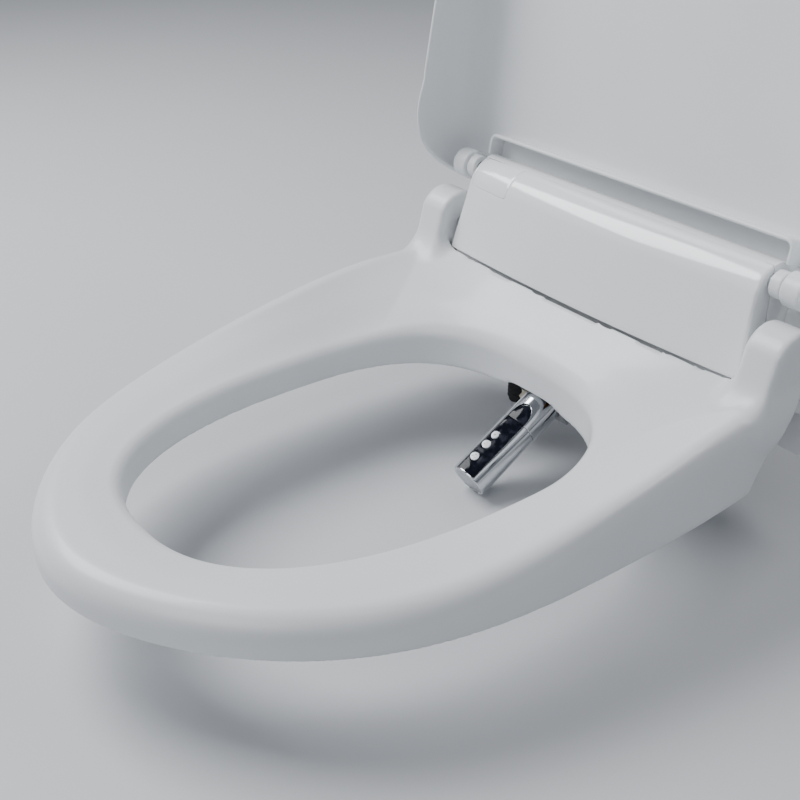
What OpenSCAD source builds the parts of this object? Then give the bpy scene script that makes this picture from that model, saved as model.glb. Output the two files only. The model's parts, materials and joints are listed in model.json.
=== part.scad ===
// Electric bidet seat, lid open and spray wand run out.
// +Z is up, -Y is the front of the seat, +X is its left-hand end as seen from the wall.
// The origin is midway between the two mounting bolts, on the plane of the bowl rim.

/* [Seat ring] */
// Widest width of the seat ring
seat_w = 382; // [374:1:386]
// Distance from the bolt line to the seat's front tip
seat_front = 436; // [430:1:440]
// Height of the ring's underside above the rim
seat_under = 10; // [9:1:12]
// Height of the ring's crown at the front
seat_crown = 37; // [34:1:40]
// How much higher the ring is where it meets the housing
saddle_rise = 37; // [34:1:38]
// Width of the opening
hole_w = 238; // [228:1:244]
// Skin thickness of the upper shell
seat_skin = 3; // [2.4:0.1:3.4]

/* [Lid] */
// Widest width of the lid
lid_w = 390; // [388:1:394]
// Wall thickness of the lid
lid_wall = 4; // [3:0.5:4]
// Angle from closed to open
lid_open = 109; // [106:1:110]

/* [Housing] */
// Length of the front cover
housing_w = 288; // [286:1:290]
// Wall thickness of the covers
cover_wall = 2.6; // [2.2:0.1:3]
// Width of the rear body with its two shoulders
body_w = 372; // [368:2:374]
// Rear face of the body behind the bolt line
body_back = 76; // [76:1:80]
// Forward bow of the front cover at its middle
cover_bow = 6; // [4:1:7]

/* [Spray wand] */
// Wand diameter
wand_d = 30; // [28:1:30]
// Wand length
wand_len = 144; // [142:1:144]
// Travel of the wand
wand_stroke = 62; // [58:1:62]
// Downward pitch of the wand
wand_pitch = 30; // [30:0.5:30]

/* [Mounting] */
// Spacing of the two mounting bolts
bolt_pitch = 140; // [139:0.5:141]
// Nominal bolt diameter
bolt_d = 8; // [7:0.5:8]

/* [Hidden] */
$fn = 64;

// Hinge axes, both along X, as [y, z]
seat_pivot = [6, 93];
lid_pivot = [22, 138];
lug_roll = [7, 96];
lug_r = 22.5;
knuckle_r = 11.5;
pin_r = 5;
run_gap = 0.05;

// Wand
wand_r = wand_d / 2;
wand_end = [0, -111, -42];
tip_len = 57;
pinion_at = wand_len - 2;
rack_pitch = 4.4;
pinion_teeth = 10;
pinion_r = rack_pitch * pinion_teeth / (2 * PI);
rack_line = 4;

// Housing section, front face and rolled top, as [y, z]
face_low = [-8, 76];
face_high = [6, 131];
roll_r = 24;
seam_y = 23;
top_back = 38;
deck_z = 117;
half_cover = housing_w / 2;
bow_r = half_cover * half_cover / (2 * cover_bow);
shoulder_y = 44;
tray_z = 9;

// Service flap, let into the -X end of the top
flap_x = [-141, -97];
flap_low = 129;
flap_gap = 0.4;
flap_pivot = [21.4, 146.8];

// Seat outline
half_seat = seat_w / 2;
nose = 300;
hole_mid = -182;
hole_front = 191;
hole_rear = 131;
hole_centre = [0, hole_mid];

function clamp01(v) = min(1, max(0, v));
function smooth(v) = let(t = clamp01(v)) t * t * (3 - 2 * t);
function mix(a, b, t) = a + (b - a) * t;
function bow(x) = cover_bow * (1 - pow(x / half_cover, 2));

// Half width of a seat-shaped outline at y
function outline_x(y, half, front, len) =
  let(u = clamp01((len - front - y) / len), v = max(0, y - len + front) / 150)
  half * sqrt(max(0, 1 - mix(pow(u, 2.9), pow(u, 1.9), u * u * u))) - 10 * v * v;

// Right half of the ring's rim, front tip to rear middle
nose_steps = 15;
side_steps = 7;
rear_gap = 2.5;
rim_half = concat(
  [for (i = [0:nose_steps]) let(a = 90 * i / nose_steps, y = -seat_front + nose * (1 - cos(a)))
    [outline_x(y, half_seat, seat_front, nose), y]],
  [for (i = [1:side_steps]) let(y = mix(nose - seat_front, -8, i / side_steps))
    [outline_x(y, half_seat, seat_front, nose), y]],
  [[181, 4], [174, 9], [164, 8], [153, -4], [147, -10]],
  [for (i = [0:7]) let(x = 138 - 138 * i / 7) [x, face_low[0] - bow(min(x, half_cover)) - rear_gap]]
);
rim = concat(rim_half, [for (i = [len(rim_half) - 2:-1:1]) [-rim_half[i][0], rim_half[i][1]]]);

// Opening rim in the direction of a rim point, grown outwards by g
function hole_point(p, g = 0) =
  let(d = p - hole_centre, l = norm(d), c = d / l, n = d[1] < 0 ? 2.4 : 2.7,
      b = (d[1] < 0 ? hole_front : hole_rear) + g, a = hole_w / 2 + g,
      r = pow(pow(abs(c[0]) / a, n) + pow(abs(c[1]) / b, n), -1 / n))
  hole_centre + c * r;
function inset_rim(p, g) = let(d = p - hole_centre) p - d / norm(d) * g;

// Height of the ring's top at a share t of the way from the opening to the rim
function ring_top(p, t) =
  let(y = p[1], side = saddle_rise * smooth((y + 330) / 270), inner = 9 * smooth((y + 150) / 100))
  mix(seat_crown - 3, seat_crown, smooth(t * 2)) + mix(inner, side, pow(t, 1.3));

// Height of the ring's lower edge: arched over the wand, and a short lip against the housing
function ring_low(p, t) =
  t < 0.5 ? seat_under + 4.5 * smooth((p[1] + 90) / 30) * (1 - smooth((abs(p[0]) - 16) / 22))
          : seat_under + 36 * smooth((p[1] + 40) / 20) * (1 - smooth((abs(p[0]) - 112) / 24));

// One section of the ring's skin, sunk by d inside its outer surface
inner_share = [0, 0, 0.02, 0.09, 0.2];
inner_drop = [1, 0.42, 0.2, 0.05, 0];
outer_share = [0.35, 0.5, 0.66, 0.8, 0.9, 0.97, 1.0, 1.0];
outer_drop = [0, 0, 0.02, 0.07, 0.17, 0.33, 0.55, 1];
function section_point(p, q, t, drop, d) =
  let(at = mix(q, p, t), top = ring_top(at, t), z = mix(top, ring_low(at, t), drop),
      low_in = drop > 0.6 && t > 0.9 ? 5 : 0, u = (p - q) / norm(p - q), side = t < 0.2 ? 1 : t > 0.85 ? -1 : 0,
      corner = abs(p[0]) > 146 ? low_in * 3 * smooth((p[1] + 30) / 30) : 0,
      sink = drop > 0.9 ? 0 : d * (1 - min(1, drop * 1.6) * 0.8))
  [at[0] + u[0] * (side * d - low_in), at[1] + u[1] * (side * d - low_in) - corner, z - sink];
function section(p, d) =
  let(q = hole_point(p))
  concat([for (i = [0:len(inner_share) - 1]) section_point(p, q, inner_share[i], inner_drop[i], d)],
         [for (i = [0:len(outer_share) - 1]) section_point(p, q, outer_share[i], outer_drop[i], d)]);
function reversed(v) = [for (i = [len(v) - 1:-1:0]) v[i]];

// Closed tube of sections: every section is a loop of the same length
module loop_solid(loops) {
  n = len(loops);
  m = len(loops[0]);
  polyhedron(
    points = [for (l = loops) each l],
    faces = [for (i = [0:n - 1], j = [0:m - 1]) let(a = i * m, b = ((i + 1) % n) * m, k = (j + 1) % m)
      each [[a + j, a + k, b + k], [a + j, b + k, b + j]]]);
}

// A profile in [y, z] run along X
module along_x(x0, x1) {
  translate([x0, 0, 0]) rotate([90, 0, 90]) linear_extrude(x1 - x0) children();
}
module rod_x(r, x0, x1, at) {
  translate([x0, at[0], at[1]]) rotate([0, 90, 0]) cylinder(r = r, h = x1 - x0);
}
module box(lo, hi) {
  translate(lo) cube(hi - lo);
}
module both_ends() {
  children();
  mirror([1, 0, 0]) children();
}
// Local +Z runs out along the wand, local +Y is its top, s is measured back from its end
module on_wand(s) {
  translate(wand_end) rotate([90 + wand_pitch, 0, 0]) translate([0, 0, -s]) children();
}
// Round hose through a list of points
module hose(points, r) {
  for (i = [0:len(points) - 2])
    let(a = points[i], d = points[i + 1] - a, l = norm(d))
    translate(a) rotate([0, acos(d[2] / l), atan2(d[1], d[0])]) cylinder(r = r, h = l, $fn = 32);
  if (len(points) > 2) for (i = [1:len(points) - 2]) translate(points[i]) sphere(r = r + 0.2, $fn = 32);
}
module round_box(lo, hi, r) {
  size = hi - lo;
  translate([lo[0], lo[1], lo[2]]) linear_extrude(size[2]) round_plate(size[0], size[1], r);
}
module round_plate(w, d, r) {
  translate([r, 0]) square([w - 2 * r, d]);
  translate([0, r]) square([w, d - 2 * r]);
  for (x = [r, w - r], y = [r, d - r]) translate([x, y]) circle(r = r, $fn = 32);
}

// ---- mounting ----
plate_x = 104;
plate_y = [-12, 66];
plate_t = 5;
module mount_plate() color("gainsboro") difference() {
  round_box([-plate_x, plate_y[0], 0], [plate_x, plate_y[1], plate_t], 8);
  box([-27, -30, -1], [27, 18, plate_t + 1]);
  for (x = [-1, 1]) translate([x * bolt_pitch / 2 - 9, -9, -1]) linear_extrude(plate_t + 2) round_plate(18, 34, 8.9);
  box([plate_x - 7, 46, -1], [plate_x + 1, 60, plate_t + 1]);
}
module bolt_guides() color("dimgray") for (x = [-1, 1])
  translate([x * bolt_pitch / 2, 0, plate_t + 0.2]) difference() {
    translate([-14, -11, 0]) linear_extrude(1.6) round_plate(28, 38, 3);
    translate([0, 0, -1]) cylinder(r = bolt_d / 2 + 0.1, h = 4);
  }
bolt_low = -46;
module mounting_bolts() color("silver") for (x = [-1, 1]) translate([x * bolt_pitch / 2, 0, 0]) {
  translate([0, 0, bolt_low]) cylinder(r = bolt_d / 2, h = -bolt_low + 8);
  translate([0, 0, 8]) cylinder(r = 6.5, h = 2.4, $fn = 6);
}
module bolt_washers() color("silver") for (x = [-1, 1]) translate([x * bolt_pitch / 2, 0, 6.8]) difference() {
  cylinder(r = 8.5, h = 1.2);
  translate([0, 0, -1]) cylinder(r = bolt_d / 2 + 0.1, h = 4);
}
plug_low = -40;
plug_r = 7;
module expansion_plugs() color("dimgray") for (x = [-1, 1]) translate([x * bolt_pitch / 2, 0, 0]) {
  translate([0, 0, plug_low + 4]) cylinder(r = plug_r, h = -plug_low - 4);
  translate([0, 0, plug_low]) cylinder(r1 = plug_r - 2, r2 = plug_r, h = 4);
}

// ---- housing ----
// Outer outline of the front cover's section, its wall measured inwards by d
face_dir = (face_high - face_low) / norm(face_high - face_low);
roll_c = [face_high[0] + roll_r * face_dir[1], face_high[1] - roll_r * face_dir[0]];
face_angle = atan2(face_dir[0], face_dir[1]);
function cover_line(d) = concat(
  [[face_low[0] + d * face_dir[1], face_low[1]]],
  [for (i = [0:12]) let(a = 180 - face_angle - (90 - face_angle) * i / 12)
    roll_c + (roll_r - d) * [cos(a), sin(a)]]);
cover_top = roll_c[1] + roll_r;
module cover_section(d) {
  polygon(concat(cover_line(0), [[seam_y + 12, cover_top], [seam_y + 12, cover_top - d]], reversed(cover_line(d))));
}
module cover_fill() {
  polygon(concat(cover_line(0), [[top_back, cover_top], [top_back, face_low[1]]]));
}
// Bows a [y, z] profile round a tall axis behind the housing
module bowed(x0, x1) {
  intersection() {
    translate([0, bow_r - cover_bow, 0]) rotate([0, 0, 180])
      rotate([0, 0, 90 - bow_a / 2]) rotate_extrude(angle = bow_a, $fn = 720)
        translate([bow_r, 0]) mirror([1, 0]) children();
    box([x0, -40, 0], [x1, 60, 200]);
  }
}
bow_a = 14;
module seam_cut() box([-200, seam_y, 0], [200, 80, 200]);
module flap_space(g) box([flap_x[0] + g, -30, flap_low + g], [flap_x[1] - g, seam_y + 1, 160]);
end_wall = 3;
module front_cover() color("white") difference() {
  union() {
    bowed(-half_cover, half_cover) cover_section(cover_wall);
    both_ends() bowed(half_cover - end_wall, half_cover) cover_fill();
  }
  seam_cut();
  flap_space(0);
  for (x = [-1, 1]) {
    rod_x(pin_r, x * half_cover - 8, x * half_cover + 8, seat_pivot);
  }
}
module service_flap() color("white") difference() {
  intersection() {
    bowed(-half_cover, half_cover) cover_section(cover_wall);
    flap_space(flap_gap);
  }
  box([-200, seam_y - flap_gap, 0], [200, 80, 200]);
  rod_x(1.05, flap_x[0] - 1, flap_x[1] + 1, flap_pivot);
}
module flap_pin() color("silver") rod_x(1, flap_x[0] + 1, flap_x[1] - 1, flap_pivot);

// Rear cover: top strip behind the seam, back wall, deck and shoulders
strip = [[seam_y + 0.4, cover_top - 0.7], [28, cover_top], [33, cover_top - 0.2], [36.6, cover_top - 2.4],
  [top_back, cover_top - 6],
  [top_back, deck_z + 3], [top_back + 3, deck_z], [body_back - 8, deck_z], [body_back - 2, deck_z - 3],
  [body_back, deck_z - 10], [body_back, 40]];
module strip_fill() polygon(concat(strip, [[seam_y + 0.4, 40]]));
module shoulder_fill() polygon([[shoulder_y, 40], [shoulder_y, deck_z - 12], [shoulder_y + 3, deck_z - 4],
  [shoulder_y + 9, deck_z], [body_back - 8, deck_z], [body_back - 2, deck_z - 3], [body_back, deck_z - 10],
  [body_back, 40]]);
module rear_cover() color("white") difference() {
  union() {
    along_x(-half_cover, half_cover) strip_fill();
    along_x(-body_w / 2, body_w / 2) shoulder_fill();
  }
  along_x(-half_cover + end_wall, half_cover - end_wall) polygon([[0, 30], [0, cover_top - 3], [33, cover_top - 3],
    [top_back - 3, cover_top - 8], [top_back - 3, deck_z - 3], [body_back - 9, deck_z - 3],
    [body_back - 3, deck_z - 10], [body_back - 3, 30]]);
  along_x(-body_w / 2 + 3, body_w / 2 - 3) polygon([[shoulder_y + 3, 30], [shoulder_y + 3, deck_z - 12],
    [shoulder_y + 10, deck_z - 3], [body_back - 9, deck_z - 3], [body_back - 3, deck_z - 10], [body_back - 3, 30]]);
  rod_x(2.5, flap_x[0] - 1, flap_x[1] + 1, flap_pivot);
  for (x = [-1, 1]) rod_x(pin_r, x * half_cover - 8, x * half_cover + 8, lid_pivot);
}
// Lower casing: floor, front wall under the seat's saddle, side and back walls
tray_top = 40;
front_wall = -7;
module base_tray() color("white") difference() {
  union() {
    box([-half_cover + 0.2, front_wall, tray_z], [half_cover - 0.2, seam_y, face_low[1] - 0.4]);
    box([-half_cover + 0.2, seam_y - 1, tray_z], [half_cover - 0.2, shoulder_y + 1, tray_top - 0.2]);
    box([-body_w / 2, shoulder_y, tray_z], [body_w / 2, body_back, tray_top - 0.2]);
  }
  box([-half_cover + 3.2, front_wall + 2.6, tray_z + 2.6], [half_cover - 3.2, body_back - 3, 90]);
  box([-body_w / 2 + 3, shoulder_y + 3, tray_z + 2.5], [body_w / 2 - 3, body_back - 3.1, 91]);
  // mouth of the wand and of the air duct
  box([-25, front_wall - 1, tray_z - 1], [23, 21, 60]);
  box([27, front_wall - 1, 16], [49, front_wall + 4, 34]);
  // bolt head pockets
  for (x = [-1, 1]) translate([x * bolt_pitch / 2, 0, 0]) cylinder(r = 12, h = 14);
  // inlet and gland holes, button hole
  rod_x(10.48, -body_w / 2 - 1, -body_w / 2 + 5, [60, 26]);
  translate([150, body_back - 5, 26]) rotate([-90, 0, 0]) cylinder(r = 7, h = 8);
  box([body_w / 2 - 5, 49.8, 14.8], [body_w / 2 + 1, 70.2, 27.2]);
  box([plate_x - 5, 48, tray_z - 1], [plate_x + 2, 58, 13]);
  for (x = screw_x) translate([x, 66, 0]) cylinder(r = 1.6, h = 14);
}
screw_x = [-172, -100, -40, 40, 100, 172];
module case_screws() color("silver") for (x = screw_x) translate([x, 66, 0]) {
  translate([0, 0, tray_z - 1.6]) cylinder(r = 3.2, h = 1.6);
  translate([0, 0, tray_z]) cylinder(r = 1.5, h = 4.4);
}

// ---- hinges ----
module seat_hinge_pins() color("silver") both_ends() rod_x(pin_r, half_cover - 6, 170, seat_pivot);
module lid_hinge_pins() color("silver") both_ends() rod_x(pin_r, half_cover - 6, 176, lid_pivot);
damper_r = 6.2;
module damper(at) {
  rod_x(damper_r, half_cover - 46, half_cover - 6, at);
  rod_x(damper_r - 2, half_cover - 52, half_cover - 46, at);
}
module seat_damper() color("dimgray") damper(seat_pivot);
module lid_damper() color("dimgray") damper(lid_pivot);

// ---- quick release ----
module release_button() color("lightgray") {
  round_box_x([body_w / 2 - 4, 50, 15], [body_w / 2 + 1, 70, 27], 4);
  box([plate_x + 9, 50, 15], [body_w / 2 - 4, 56, 18]);
  box([plate_x + 3, 50, 12.2], [plate_x + 9, 56, 18]);
}
module round_box_x(lo, hi, r) {
  size = hi - lo;
  translate(lo) rotate([90, 0, 90]) linear_extrude(size[0]) round_plate(size[1], size[2], r);
}
module latch_spring() color("silver") for (i = [0:5]) translate([body_w / 2 - 6 - i * 2.4, 64, 21]) rotate([0, 90, 0])
  rotate_extrude($fn = 32) translate([4, 0]) circle(r = 0.5, $fn = 16);

// ---- seat ----
module seat_upper_shell() color("whitesmoke")
  loop_solid([for (p = rim) concat(section(p, 0), reversed(section(p, seat_skin)))]);
module seat_heater_foil() color("darkorange")
  loop_solid([for (p = rim) let(a = section(p, seat_skin + 0.6), b = section(p, seat_skin + 1.1))
    concat([for (i = [4:7]) a[i]], [for (i = [7:-1:4]) b[i]])]);
// Ring plate, left open behind the opening where the wand runs
wand_slot = 28;
module seat_lower_shell() color("whitesmoke") translate([0, 0, seat_under + 0.2]) difference() {
  linear_extrude(2.6) polygon([for (p = rim) inset_rim(p, 10)]);
  translate([0, 0, -1]) linear_extrude(5) polygon([for (p = rim) hole_point(p, seat_skin + 0.8)]);
  translate([-wand_slot, -80, -1]) cube([2 * wand_slot, 70, 5]);
}
bumper_at = [[-148, -120], [148, -120], [-112, -340], [112, -340]];
module seat_bumpers() color("dimgray") for (b = bumper_at) translate([b[0], b[1], 0]) {
  cylinder(r = 9, h = seat_under + 0.2);
  translate([0, 0, seat_under + 0.2]) cylinder(r = 4, h = 4);
}
lug_x = [half_cover + 8, 184];
module seat_hinge_lugs() color("whitesmoke") both_ends() difference() {
  union() {
    rod_x(lug_r, lug_x[0], lug_x[1] - 4, lug_roll);
    rod_x(lug_r - 4, lug_x[1] - 4, lug_x[1], lug_roll);
    translate([lug_x[1] - 4, lug_roll[0], lug_roll[1]]) rotate([0, 90, 0])
      rotate_extrude() translate([lug_r - 4, 0]) intersection() {
        circle(r = 4, $fn = 32);
        square(5);
      }
    along_x(lug_x[0], lug_x[1] - 8) polygon([[-36, 66], [-26, 86], [10, 110], [16, 84], [8, 58], [-20, 58]]);
  }
  rod_x(pin_r + run_gap, lug_x[0] - 1, 172, seat_pivot);
}

// ---- lid, drawn closed and then swung open ----
lid_slope = 0.2235;
panel_lift = 20;
half_lid = lid_w / 2;
lid_front = seat_front + 3;
pocket_x = half_cover + 3;
function panel_z(y) = lid_pivot[1] + panel_lift / cos(atan(lid_slope)) + (y - lid_pivot[0]) * lid_slope;
// Lower edge of the skirt: follows the ring, then lifts clear of the hinge
function skirt_z(y) =
  let(run = mix(42, 90, pow(clamp01((y + lid_front) / (lid_front - 30)), 1.25)),
      lift = 146 - sqrt(max(0, pow(56, 2) - pow(max(0, y + 22), 2))))
  y < -34 ? run : max(run, lift);
skirt_steps = 8;
lid_half = concat(
  [for (i = [0:nose_steps]) let(a = 90 * i / nose_steps, y = -lid_front + nose * (1 - cos(a)))
    [outline_x(y, half_lid, lid_front, nose), y]],
  [for (i = [1:skirt_steps]) let(y = mix(nose - lid_front, 12, i / skirt_steps))
    [half_lid - 1.5 * pow(i / skirt_steps, 2), y]],
  [for (i = [1:4]) let(a = 22.5 * i) [half_lid - 1.5 - 22 * (1 - cos(a)), 12 + 22 * sin(a)]],
  [for (i = [1:5]) [170 * (1 - i / 5), 34]]
);
lid_rim = concat(lid_half, [for (i = [len(lid_half) - 2:-1:1]) [-lid_half[i][0], lid_half[i][1]]]);
lid_core = [0, -170];
// Rings of the lid's skin, from the lower edge inwards; d is the depth inside its outer face
ring_in = [0, 0, 1.5, 5, 11, 21, 60];
ring_up = [0, 0.45, 0.74, 0.88, 0.96, 1, 1];
function lid_point(p, k, d) =
  let(v = p - lid_core, l = norm(v), u = v / l, q = p - u * (min(ring_in[k], l * 0.6) + (k < 5 ? d : 0)),
      rear = p[1] > 20 && abs(p[0]) < 172,
      low = rear ? panel_z(p[1]) - 1.5 : skirt_z(p[1]),
      top = panel_z(q[1]) + lid_wall + 3 * (1 - pow(norm([q[0] / 200, (q[1] + 170) / 260]), 2)))
  [q[0], q[1], mix(low, top, ring_up[k]) - (k == 0 ? 0 : d * (rear && k < 5 ? 0.6 : ring_up[k]))];
module lid_closed_shell() {
  n = len(lid_rim);
  m = len(ring_in);
  outer = [for (k = [0:m - 1]) for (p = lid_rim) lid_point(p, k, 0)];
  inner = [for (k = [0:m - 1]) for (p = lid_rim) lid_point(p, k, lid_wall)];
  mid = panel_z(lid_core[1]) + 3;
  c0 = 2 * n * m;
  polyhedron(
    points = concat(outer, inner, [[lid_core[0], lid_core[1], mid + lid_wall], [lid_core[0], lid_core[1], mid]]),
    faces = concat(
      [for (k = [0:m - 2], i = [0:n - 1]) let(a = k * n, b = a + n, j = (i + 1) % n)
        each [[a + i, b + i, b + j], [a + i, b + j, a + j]]],
      [for (k = [0:m - 2], i = [0:n - 1]) let(a = (m + k) * n, b = a + n, j = (i + 1) % n)
        each [[a + i, b + j, b + i], [a + i, a + j, b + j]]],
      [for (i = [0:n - 1]) let(j = (i + 1) % n) each [[i, j, m * n + j], [i, m * n + j, m * n + i]]],
      [for (i = [0:n - 1]) let(j = (i + 1) % n, a = (m - 1) * n) [a + i, c0, a + j]],
      [for (i = [0:n - 1]) let(j = (i + 1) % n, a = (2 * m - 1) * n) [a + i, a + j, c0 + 1]]));
}
module swung_open() {
  translate([0, lid_pivot[0], lid_pivot[1]]) rotate([-lid_open, 0, 0])
    translate([0, -lid_pivot[0], -lid_pivot[1]]) children();
}
module lid_shell() color("whitesmoke") swung_open() lid_closed_shell();
// Knuckles with their webs, and the lip round the housing's pocket
lip_t = 3;
module lid_hinge_frame() color("whitesmoke") swung_open() {
  both_ends() difference() {
    union() {
      rod_x(knuckle_r, pocket_x + 1, 184, lid_pivot);
      along_x(pocket_x + 1, 184) polygon([[12, 138], [32, 138], [33.4, 160], [12, 155.5]]);
    }
    rod_x(pin_r + run_gap, pocket_x, 178, lid_pivot);
  }
  both_ends() along_x(pocket_x, pocket_x + lip_t) polygon([[-8, 138], [-8, 151.6], [9, 155.4], [9, 141]]);
  along_x(-pocket_x, pocket_x) polygon([[-8, 138], [-8, 151.6], [-8 + lip_t, 152.2], [-8 + lip_t, 138]]);
}
lid_bumper_at = [[-78, -392], [78, -392]];
function bumper_top(p) = panel_z(p[1]) - 1;
module lid_bumpers() color("dimgray") swung_open() for (b = lid_bumper_at)
  translate([b[0], b[1], bumper_top(b) - bumper_drop(b)]) cylinder(r = 7, h = bumper_drop(b));
function bumper_drop(p) = bumper_top(p) - ring_top([p[0], p[1]], 0.5) - 1;

// ---- spray wand ----
flat_y = 12.6;
flat_roll = 12;
flat_half = 8;
disc_s = [15.5, 28.5, 38.5];
disc_x = -4;
module on_flat() on_wand(0) rotate([0, 0, -flat_roll]) children();
module wand_tip() color("silver") on_flat() difference() {
  rotate([180, 0, 0]) cylinder(r = wand_r, h = tip_len);
  translate([-flat_half, flat_y - 1.2, -tip_len - 1]) cube([2 * flat_half, 10, tip_len - 1]);
  for (s = disc_s) translate([disc_x, 4, -s]) rotate([-90, 0, 0]) cylinder(r = 2.6, h = 20);
}
module spray_inset() color("black") on_flat() difference() {
  translate([0.1 - flat_half, flat_y - 1.15, -tip_len - 16]) cube([2 * flat_half - 0.2, 1.3, tip_len + 13.9]);
  for (s = disc_s) translate([disc_x, 4, -s]) rotate([-90, 0, 0]) cylinder(r = 3.6, h = 20);
}
module spray_discs() color("white") on_flat() for (s = disc_s) translate([disc_x, 4.2, -s]) rotate([-90, 0, 0]) difference() {
  union() {
    cylinder(r = 2.5, h = 6.5);
    translate([0, 0, flat_y - 1.1 - 4.2]) cylinder(r = 3.5, h = 1.7);
  }
  for (a = [0:120:240]) rotate([0, 0, a]) translate([1.3, 0, -1]) cylinder(r = 0.45, h = 20, $fn = 16);
}
module wand_tube() color("silver") on_wand(0) difference() {
  union() {
    translate([0, 0, -tail_s]) cylinder(r = wand_r, h = tail_s - tip_len - 0.3);
    translate([0, 0, -wand_len]) cylinder(r = tail_r, h = wand_len - tail_s);
    translate([0, 0, -tip_len - 1]) cylinder(r = wand_r - 1, h = 1);
  }
  rotate([0, 0, -flat_roll]) translate([-flat_half, flat_y - 1.2, -tip_len - 16.2]) cube([2 * flat_half, 10, 17]);
  translate([0, 0, -wand_len - 3]) cylinder(r = 4, h = wand_len - tip_len - 6);
}
tail_s = 126;
tail_r = 9;
rack_s = [wand_len - wand_stroke - 2, wand_len];
rack_n = floor((rack_s[1] - rack_s[0]) / rack_pitch);
module wand_rack() color("ivory") on_wand(0) {
  translate([-wand_r - 6, -3, -rack_s[1]]) cube([7, 5.6, rack_s[1] - rack_s[0]]);
  for (i = [0:rack_n - 1]) translate([-wand_r - 6, 2.6, -pinion_at + i * rack_pitch - 0.01]) rotate([0, 90, 0])
    linear_extrude(5) polygon([[-1, 0], [1, 0], [0.4, 2.2], [-0.4, 2.2]]);
}
module wand_pinion() color("ivory") on_wand(pinion_at) translate([-wand_r - 6.2, rack_line + pinion_r, 0]) rotate([0, 90, 0]) {
  difference() {
    union() {
      cylinder(r = pinion_r - 1.6, h = 5.4);
      for (i = [0:pinion_teeth - 1]) rotate([0, 0, 360 * (i + 0.5) / pinion_teeth - 90]) linear_extrude(5.4)
        polygon([[4.6, -1], [4.6, 1], [pinion_r + 1.1, 0.4], [pinion_r + 1.1, -0.4]]);
    }
    translate([0, 0, -1]) cylinder(r = 1.5 + run_gap, h = 8);
  }
}
module motor_axis() on_wand(pinion_at) translate([-wand_r - 6.2, rack_line + pinion_r, 0]) rotate([0, 90, 0]) children();
module wand_motor() color("gray") motor_axis() {
  translate([0, 0, -2]) cylinder(r = 1.5, h = 6);
  translate([0, 0, -22]) cylinder(r = 10, h = 18);
  translate([0, 0, -4]) cylinder(r = 4, h = 2);
}
module motor_bracket() color("silver") motor_axis() difference() {
  intersection() {
    translate([-9, -9, -3.9]) cube([18, 18, 1.6]);
    translate([0, 0, -4]) cylinder(r = 10.8, h = 2);
  }
  translate([0, 0, -9]) cylinder(r = 4.1, h = 9);
}
// Chute that guides the wand and the rack beside it
module wand_shroud() color("lightgray") on_wand(0) difference() {
  translate([-24, -17.5, -shroud_s[1]]) cube([42, 34.5, shroud_s[1] - shroud_s[0]]);
  translate([0, 0, -shroud_s[1] - 1]) cylinder(r = wand_r + 0.4, h = 60);
  translate([-22.2, -4, -shroud_s[1] - 1]) cube([12, 10, 60]);
}
shroud_s = [86, 122];

// ---- keys under the flap, on a plate parallel to the flap ----
module on_keys() translate([-116.5, 15.4, 131.4]) rotate([45, 0, 0]) children();
module key_panel() color("gray") on_keys() difference() {
  translate([-17, -9, -2]) cube([34, 17, 2]);
  for (x = [-9, 4]) translate([x - 4.2, -4.2, -3]) cube([8.4, 8.4, 5]);
  translate([12.5, 0, -3]) cylinder(r = 1.6, h = 5);
}
module key() {
  translate([-4, -4, -2]) cube([8, 8, 4]);
  translate([-5, -5, -3.6]) cube([10, 10, 1.5]);
}
module power_key() color("lightgray") on_keys() translate([-9, 0, 0]) key();
module wash_key() color("lightgray") on_keys() translate([4, 0, 0]) key();
module key_lens() color("skyblue") on_keys() translate([12.5, 0, -2]) cylinder(r = 1.5, h = 2.4);

// ---- water ----
inlet_at = [60, 26];
module inlet_fitting() color("goldenrod") difference() {
  union() {
    rod_x(10.4, -200, -186, inlet_at);
    rod_x(9.8, -186, -176, inlet_at);
    rod_x(13, -183, -178, inlet_at);
  }
  rod_x(7.5, -201, -175, inlet_at);
}
module inlet_strainer() color("silver") difference() {
  rod_x(7.3, -196, -182, inlet_at);
  rod_x(6.3, -197, -184, inlet_at);
}
module solenoid_valve() color("steelblue") {
  round_box([-176, 48.5, 14], [-146, 71, 40], 3);
  translate([-161, 60, 40]) cylinder(r = 9, h = 16);
}
module flow_sensor() color("ivory") {
  rod_x(9, -143, -131, inlet_at);
  box([-140, 56, 35], [-134, 64, 40]);
}
module water_heater() color("beige") difference() {
  round_box([-124, 30, 14], [-56, 70, 66], 5);
  round_box([-121, 33, 17], [-59, 67, 63], 4);
}
module heater_element() color("darkred") for (y = [42, 50, 58]) rod_x(2.5, -118, -62, [y, 40]);
module water_pump() color("gray") {
  rod_x(13, -176, -150, [60, 86]);
  round_box([-148, 48, 72], [-128, 71, 100], 2);
}
module diverter_valve() color("ivory") {
  translate([-38, 60, 74]) cylinder(r = 9, h = 16);
  round_box([-48, 52, 90], [-28, 70, 104], 2);
}
module water_hoses() color("dodgerblue") {
  hose([[-146, 60, 26], [-143, 60, 26]], 3);
  hose([[-131, 60, 26], [-124, 60, 26]], 3);
  hose([[-90, 60, 66], [-90, 60, 86], [-128, 60, 86]], 3);
  hose([[-138, 60, 100], [-138, 60, 109], [-38, 60, 109], [-38, 60, 104]], 3);
}

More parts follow.
